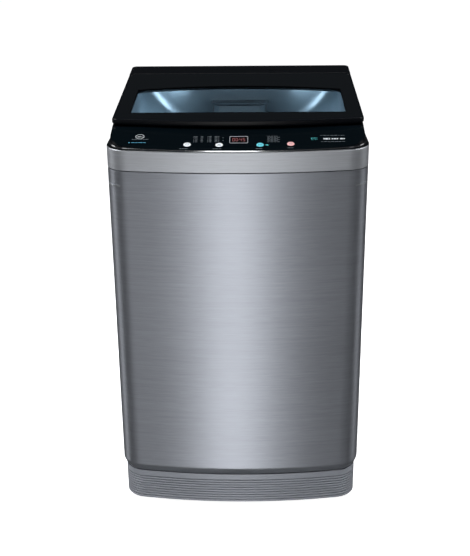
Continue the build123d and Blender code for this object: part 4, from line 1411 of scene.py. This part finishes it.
@dataclass
class Mouth:
    """Glossy liner of the loading mouth: upright walls drawn in by a cone."""

    half: float = 0.234
    front: float = -0.162
    back: float = 0.156
    corner: float = 0.034
    low: float = 0.813
    radius: float = 0.205
    slope: float = math.radians(41.0)
    centre_y: float = -0.005
    wall: float = 0.0025
    blend: float = 0.022
    flange: float = 0.008
    lip: float = 0.0015
    tray_low: tuple[float, float, float] = (-0.0675, 0.100, 0.8335)
    tray_high: tuple[float, float, float] = (0.0675, 0.212, 0.8725)
    around: int = 240
    rows: int = 30

    def deck(self, y: float) -> float:
        """Height of the deck at a place along the machine."""
        rise = (y - LID_PLACE.translation.y) * math.tan(LID_TILT)
        return LID_PLACE.translation.z + rise - DECK_DROP / math.cos(LID_TILT)

    def plan_reach(self, turn: float, grow: float) -> float:
        """How far the upright walls stand from the centre in one direction.

        Args:
            turn: The direction as an angle.
            grow: How far the walls are moved out.

        Returns:
            The distance.
        """
        middle = (self.front + self.back) / 2 - self.centre_y
        wide, deep = self.half + grow, (self.back - self.front) / 2 + grow
        corner = self.corner + grow
        low, high = 0.0, 0.5
        for _ in range(24):
            reach = (low + high) / 2
            x = abs(reach * math.cos(turn)) - wide + corner
            y = abs(reach * math.sin(turn) - middle) - deep + corner
            out = math.hypot(max(x, 0.0), max(y, 0.0)) + min(max(x, y), 0.0) - corner
            low, high = (low, reach) if out > 0 else (reach, high)
        return low

    def reach(self, turn: float, level: float, grow: float) -> float:
        """Distance from the centre to the wall, with the crease rounded.

        Args:
            turn: The direction as an angle.
            level: The height.
            grow: How far the wall is moved out.

        Returns:
            The distance.
        """
        upright = self.plan_reach(turn, grow)
        cone = self.radius + grow + max(0.0, level - self.low) * math.tan(self.slope)
        near = max(self.blend - abs(upright - cone), 0.0) / self.blend
        return min(upright, cone) - near * near * self.blend / 4

    def place(self, turn: float, row: int) -> Vector:
        """Where one point of the liner's closed grid lies.

        Args:
            turn: Its direction as an angle.
            row: Its row, up the inside, over the flange and down the outside.

        Returns:
            The point.
        """
        edge = (
            (0.0000, 0.0006),
            (0.0005, 0.0012),
            (0.0013, self.lip),
            (self.flange - 0.0012, self.lip),
            (self.flange - 0.0003, 0.0011),
            (self.flange, 0.0004),
            (self.flange, 0.0001),
            (self.wall, 0.0001),
        )
        inner = row <= self.rows
        over = self.rows < row <= self.rows + len(edge)
        grow = 0.0 if inner or over else self.wall
        top_reach = self.plan_reach(turn, grow)
        rim = self.deck(self.centre_y + top_reach * math.sin(turn))
        if over:
            out, rise = edge[row - self.rows - 1]
            reach = top_reach + out
            level = self.deck(self.centre_y + reach * math.sin(turn)) + rise
        else:
            step = row if inner else 2 * self.rows + len(edge) + 1 - row
            level = self.low + (rim - self.low) * step / self.rows
            reach = self.reach(turn, level, grow)
        return Vector((reach * math.cos(turn), self.centre_y + reach * math.sin(turn), level))

    def build(self) -> None:
        """Make and dress the liner."""
        count = 2 * self.rows + 10
        ring_radius, tube = 0.2, 0.05
        Bench.clear()
        bpy.ops.mesh.primitive_torus_add(
            major_segments=self.around, minor_segments=count, major_radius=ring_radius, minor_radius=tube
        )
        liner = Bench.fix("mouth_liner")
        for vertex in liner.data.vertices:
            x, y, z = vertex.co
            turn = math.atan2(y, x)
            row = round(math.atan2(z, math.hypot(x, y) - ring_radius) / (2 * math.pi) * count) % count
            vertex.co = self.place(turn, row)
        Bench.outward(liner)
        Bench.cut(liner, Bench.block("tray_tool", self.tray_low, self.tray_high))
        Bench.deliver(liner, Finishes.LINER, "cabinet_body", ("mouth_guard",), 50.0)


COOL = (0.85, 0.95, 1.0)


@dataclass
class Studio:
    """Pale floor, soft lights, the pale surround and the camera."""

    focal: float = 66.26
    place: tuple[float, float, float] = (0.037, -2.311, 1.400)
    pitch: float = 0.3829
    yaw: float = -0.0216
    roll: float = -0.0103
    floor_half: float = 30.0
    floor_glow: float = 0.98
    room_light: float = 0.03
    strips: tuple[tuple, ...] = (
        ("front_strip", (-0.18, -4.2, -0.7), (-0.05, 0.0, 0.0), (0.90, 5.4), 57.0),
        ("front_left_fill", (-2.4, -3.6, -0.3), (0.0, 0.0, 0.0), (1.2, 5.0), 7.0),
        ("front_right_fill", (2.6, -3.4, -0.3), (0.0, 0.0, 0.0), (1.2, 5.0), 2.0),
        ("left_strip", (-4.2, 0.6, -0.2), (0.0, 0.0, 0.2), (1.8, 5.0), 21.0),
        ("right_strip", (4.2, 0.6, -0.2), (0.0, 0.0, 0.2), (1.8, 5.0), 13.0),
        ("back_strip", (0.0, 4.4, -2.2), (0.0, 0.0, 0.2), (2.0, 4.0), 56.0),
        ("overhead", (0.0, -0.95, 3.0), (0.0, -0.1, 0.9), (2.4, 0.8), 34.0),
        ("left_top", (-1.7, -0.30, 2.6), (0.1, 0.1, 0.85), (0.9, 0.9), 60.0),
        ("right_top", (1.7, -0.30, 2.6), (-0.1, 0.1, 0.85), (0.9, 0.9), 42.0),
    )

    inner_glows: tuple[tuple, ...] = (
        ("inner_glow_left", (-0.165, 0.070, 0.893), (-0.205, 0.115, 0.840), (0.08, 0.03), 0.13, COOL),
        ("inner_glow_right", (0.165, 0.070, 0.893), (0.205, 0.115, 0.840), (0.08, 0.03), 0.10, COOL),
        ("inner_glow_front", (0.0, -0.120, 0.880), (0.0, 0.150, 0.840), (0.36, 0.02), 0.14, COOL),
    )

    def camera(self) -> None:
        """Put the camera in place."""
        made = bpy.data.cameras.new("main_camera")
        made.lens = self.focal
        made.sensor_width = 36.0
        made.clip_end = 100.0
        holder = bpy.data.objects.new("main_camera", made)
        bpy.context.scene.collection.objects.link(holder)
        ahead = Vector((math.sin(self.yaw), math.cos(self.yaw), 0)) * math.cos(self.pitch)
        ahead.z = -math.sin(self.pitch)
        right = Vector((math.cos(self.yaw), -math.sin(self.yaw), 0))
        up = right.cross(ahead)
        turned = right * math.cos(self.roll) + up * math.sin(self.roll)
        upward = up * math.cos(self.roll) - right * math.sin(self.roll)
        axes = Matrix((turned, upward, -ahead)).transposed()
        holder.matrix_world = Matrix.Translation(self.place) @ axes.to_4x4()
        bpy.context.scene.camera = holder

    def light(
        self,
        name: str,
        place: Sequence[float],
        target: Sequence[float],
        size: Sequence[float],
        power: float,
        colour: Sequence[float] = (1, 1, 1),
    ) -> bpy.types.Object:
        """Add a rectangular soft light.

        Args:
            name: The light's name.
            place: Where it stands.
            target: What it faces.
            size: Its width and height.
            power: Its power in watts.
            colour: Its colour.

        Returns:
            The light's object.
        """
        made = bpy.data.lights.new(name, "AREA")
        made.shape = "RECTANGLE"
        made.size, made.size_y = size
        made.energy = power
        made.color = colour
        holder = bpy.data.objects.new(name, made)
        bpy.context.scene.collection.objects.link(holder)
        facing = (Vector(target) - Vector(place)).to_track_quat("-Z", "Y")
        holder.matrix_world = Matrix.Translation(place) @ facing.to_matrix().to_4x4()
        return holder

    def floor(self) -> None:
        """Lay the pale floor, which the gloss of the metal doesn't pick up."""
        Bench.clear()
        bpy.ops.mesh.primitive_plane_add(size=2 * self.floor_half, location=(0, 0, 0))
        floor = Bench.fix("pale_floor")
        paint = Paint("pale_floor")
        paint.set(
            Base_Color=(0.80, 0.80, 0.81, 1.0),
            Roughness=0.9,
            Emission_Color=(1.0, 1.0, 1.0, 1.0),
            Emission_Strength=self.floor_glow,
        )
        floor.data.materials.append(paint.material)
        floor.visible_glossy = False
        floor.visible_shadow = False

    def surround(self) -> None:
        """White backdrop, with a dim room round the machine for its gloss."""
        world = bpy.data.worlds.new("surround")
        bpy.context.scene.world = world
        world.use_nodes = True
        tree = world.node_tree
        room = tree.nodes["Background"]
        room.inputs["Color"].default_value = (0.90, 0.95, 1.0, 1.0)
        room.inputs["Strength"].default_value = self.room_light
        backdrop = tree.nodes.new("ShaderNodeBackground")
        ray = tree.nodes.new("ShaderNodeLightPath")
        choice = tree.nodes.new("ShaderNodeMixShader")
        tree.links.new(ray.outputs["Is Camera Ray"], choice.inputs[0])
        tree.links.new(room.outputs[0], choice.inputs[1])
        tree.links.new(backdrop.outputs[0], choice.inputs[2])
        tree.links.new(choice.outputs[0], tree.nodes["World Output"].inputs[0])

    def build(self) -> None:
        """Set up the studio."""
        bpy.context.scene.view_settings.view_transform = "Standard"
        self.camera()
        self.floor()
        self.surround()
        for strip in self.strips:
            self.light(*strip)
        for glow in self.inner_glows:
            self.light(*glow).visible_camera = False


PLAIN_NODES: dict[Finishes, tuple[str, ...]] = {
    Finishes.BACK: ("rear_panel",),
    Finishes.COVER: ("rear_console",),
    Finishes.LINER: ("inlet_box", "balance_ring", "pulsator"),
    Finishes.DRAWER: ("detergent_drawer",),
    Finishes.DRUM: ("basket",),
    Finishes.TUB: ("outer_tub", "basket_hub"),
    Finishes.WHITE: (
        "tub_ring",
        "lint_filter",
        "pulsator_cap",
        "inlet_valve",
        "pressure_sensor",
        "capacitor",
        "drain_valve",
    ),
    Finishes.DARK: (
        "base_plate",
        "valve_coil",
        "lid_switch",
        "motor",
        "drain_spigot",
        "cord_gland",
        "rod_seats",
        "spring_cups",
    ),
    Finishes.STEEL: ("mounting_plate", "corner_brackets"),
    Finishes.CAST: ("gearcase", "motor_pulley", "drive_pulley"),
    Finishes.GROUND: (
        "rear_screws", "front_stud_left", "front_stud_right", "lid_hinge_pins", "wash_shaft", "spin_shaft",
        "bearings", "motor_shaft", "suspension_rods", "suspension_springs",
    ),
    Finishes.RUBBER: ("front_foot_left", "front_foot_right", "rear_feet", "belt"),
    Finishes.BOARD: ("control_board",),
    Finishes.DISPLAY: ("display_window",),
    Finishes.LAMP: ("lamp_lens",),
    Finishes.WHITE_KEY: ("program_button", "level_button"),
    Finishes.TEAL_KEY: ("start_button",),
    Finishes.PINK_KEY: ("power_button",),
    Finishes.CABINET: ("cabinet", "front_band", "base_frame", "top_cover", "lid_frame", "lid_glass"),
}


def dress_nodes() -> None:
    """Give every CAD node that stays its finish."""
    for finish, names in PLAIN_NODES.items():
        for name in names:
            node = NODES[name]
            node.data.materials.clear()
            node.data.materials.append(finish.material())


def main() -> None:
    """Build the studio and the machine's sub-assemblies in order."""
    logging.basicConfig(level=logging.INFO, format="%(message)s")
    Studio().build()
    dress_nodes()
    Housing().build()
    Console().build()
    Lid().build()
    Mouth().build()


if __name__ == "__main__":
    main()
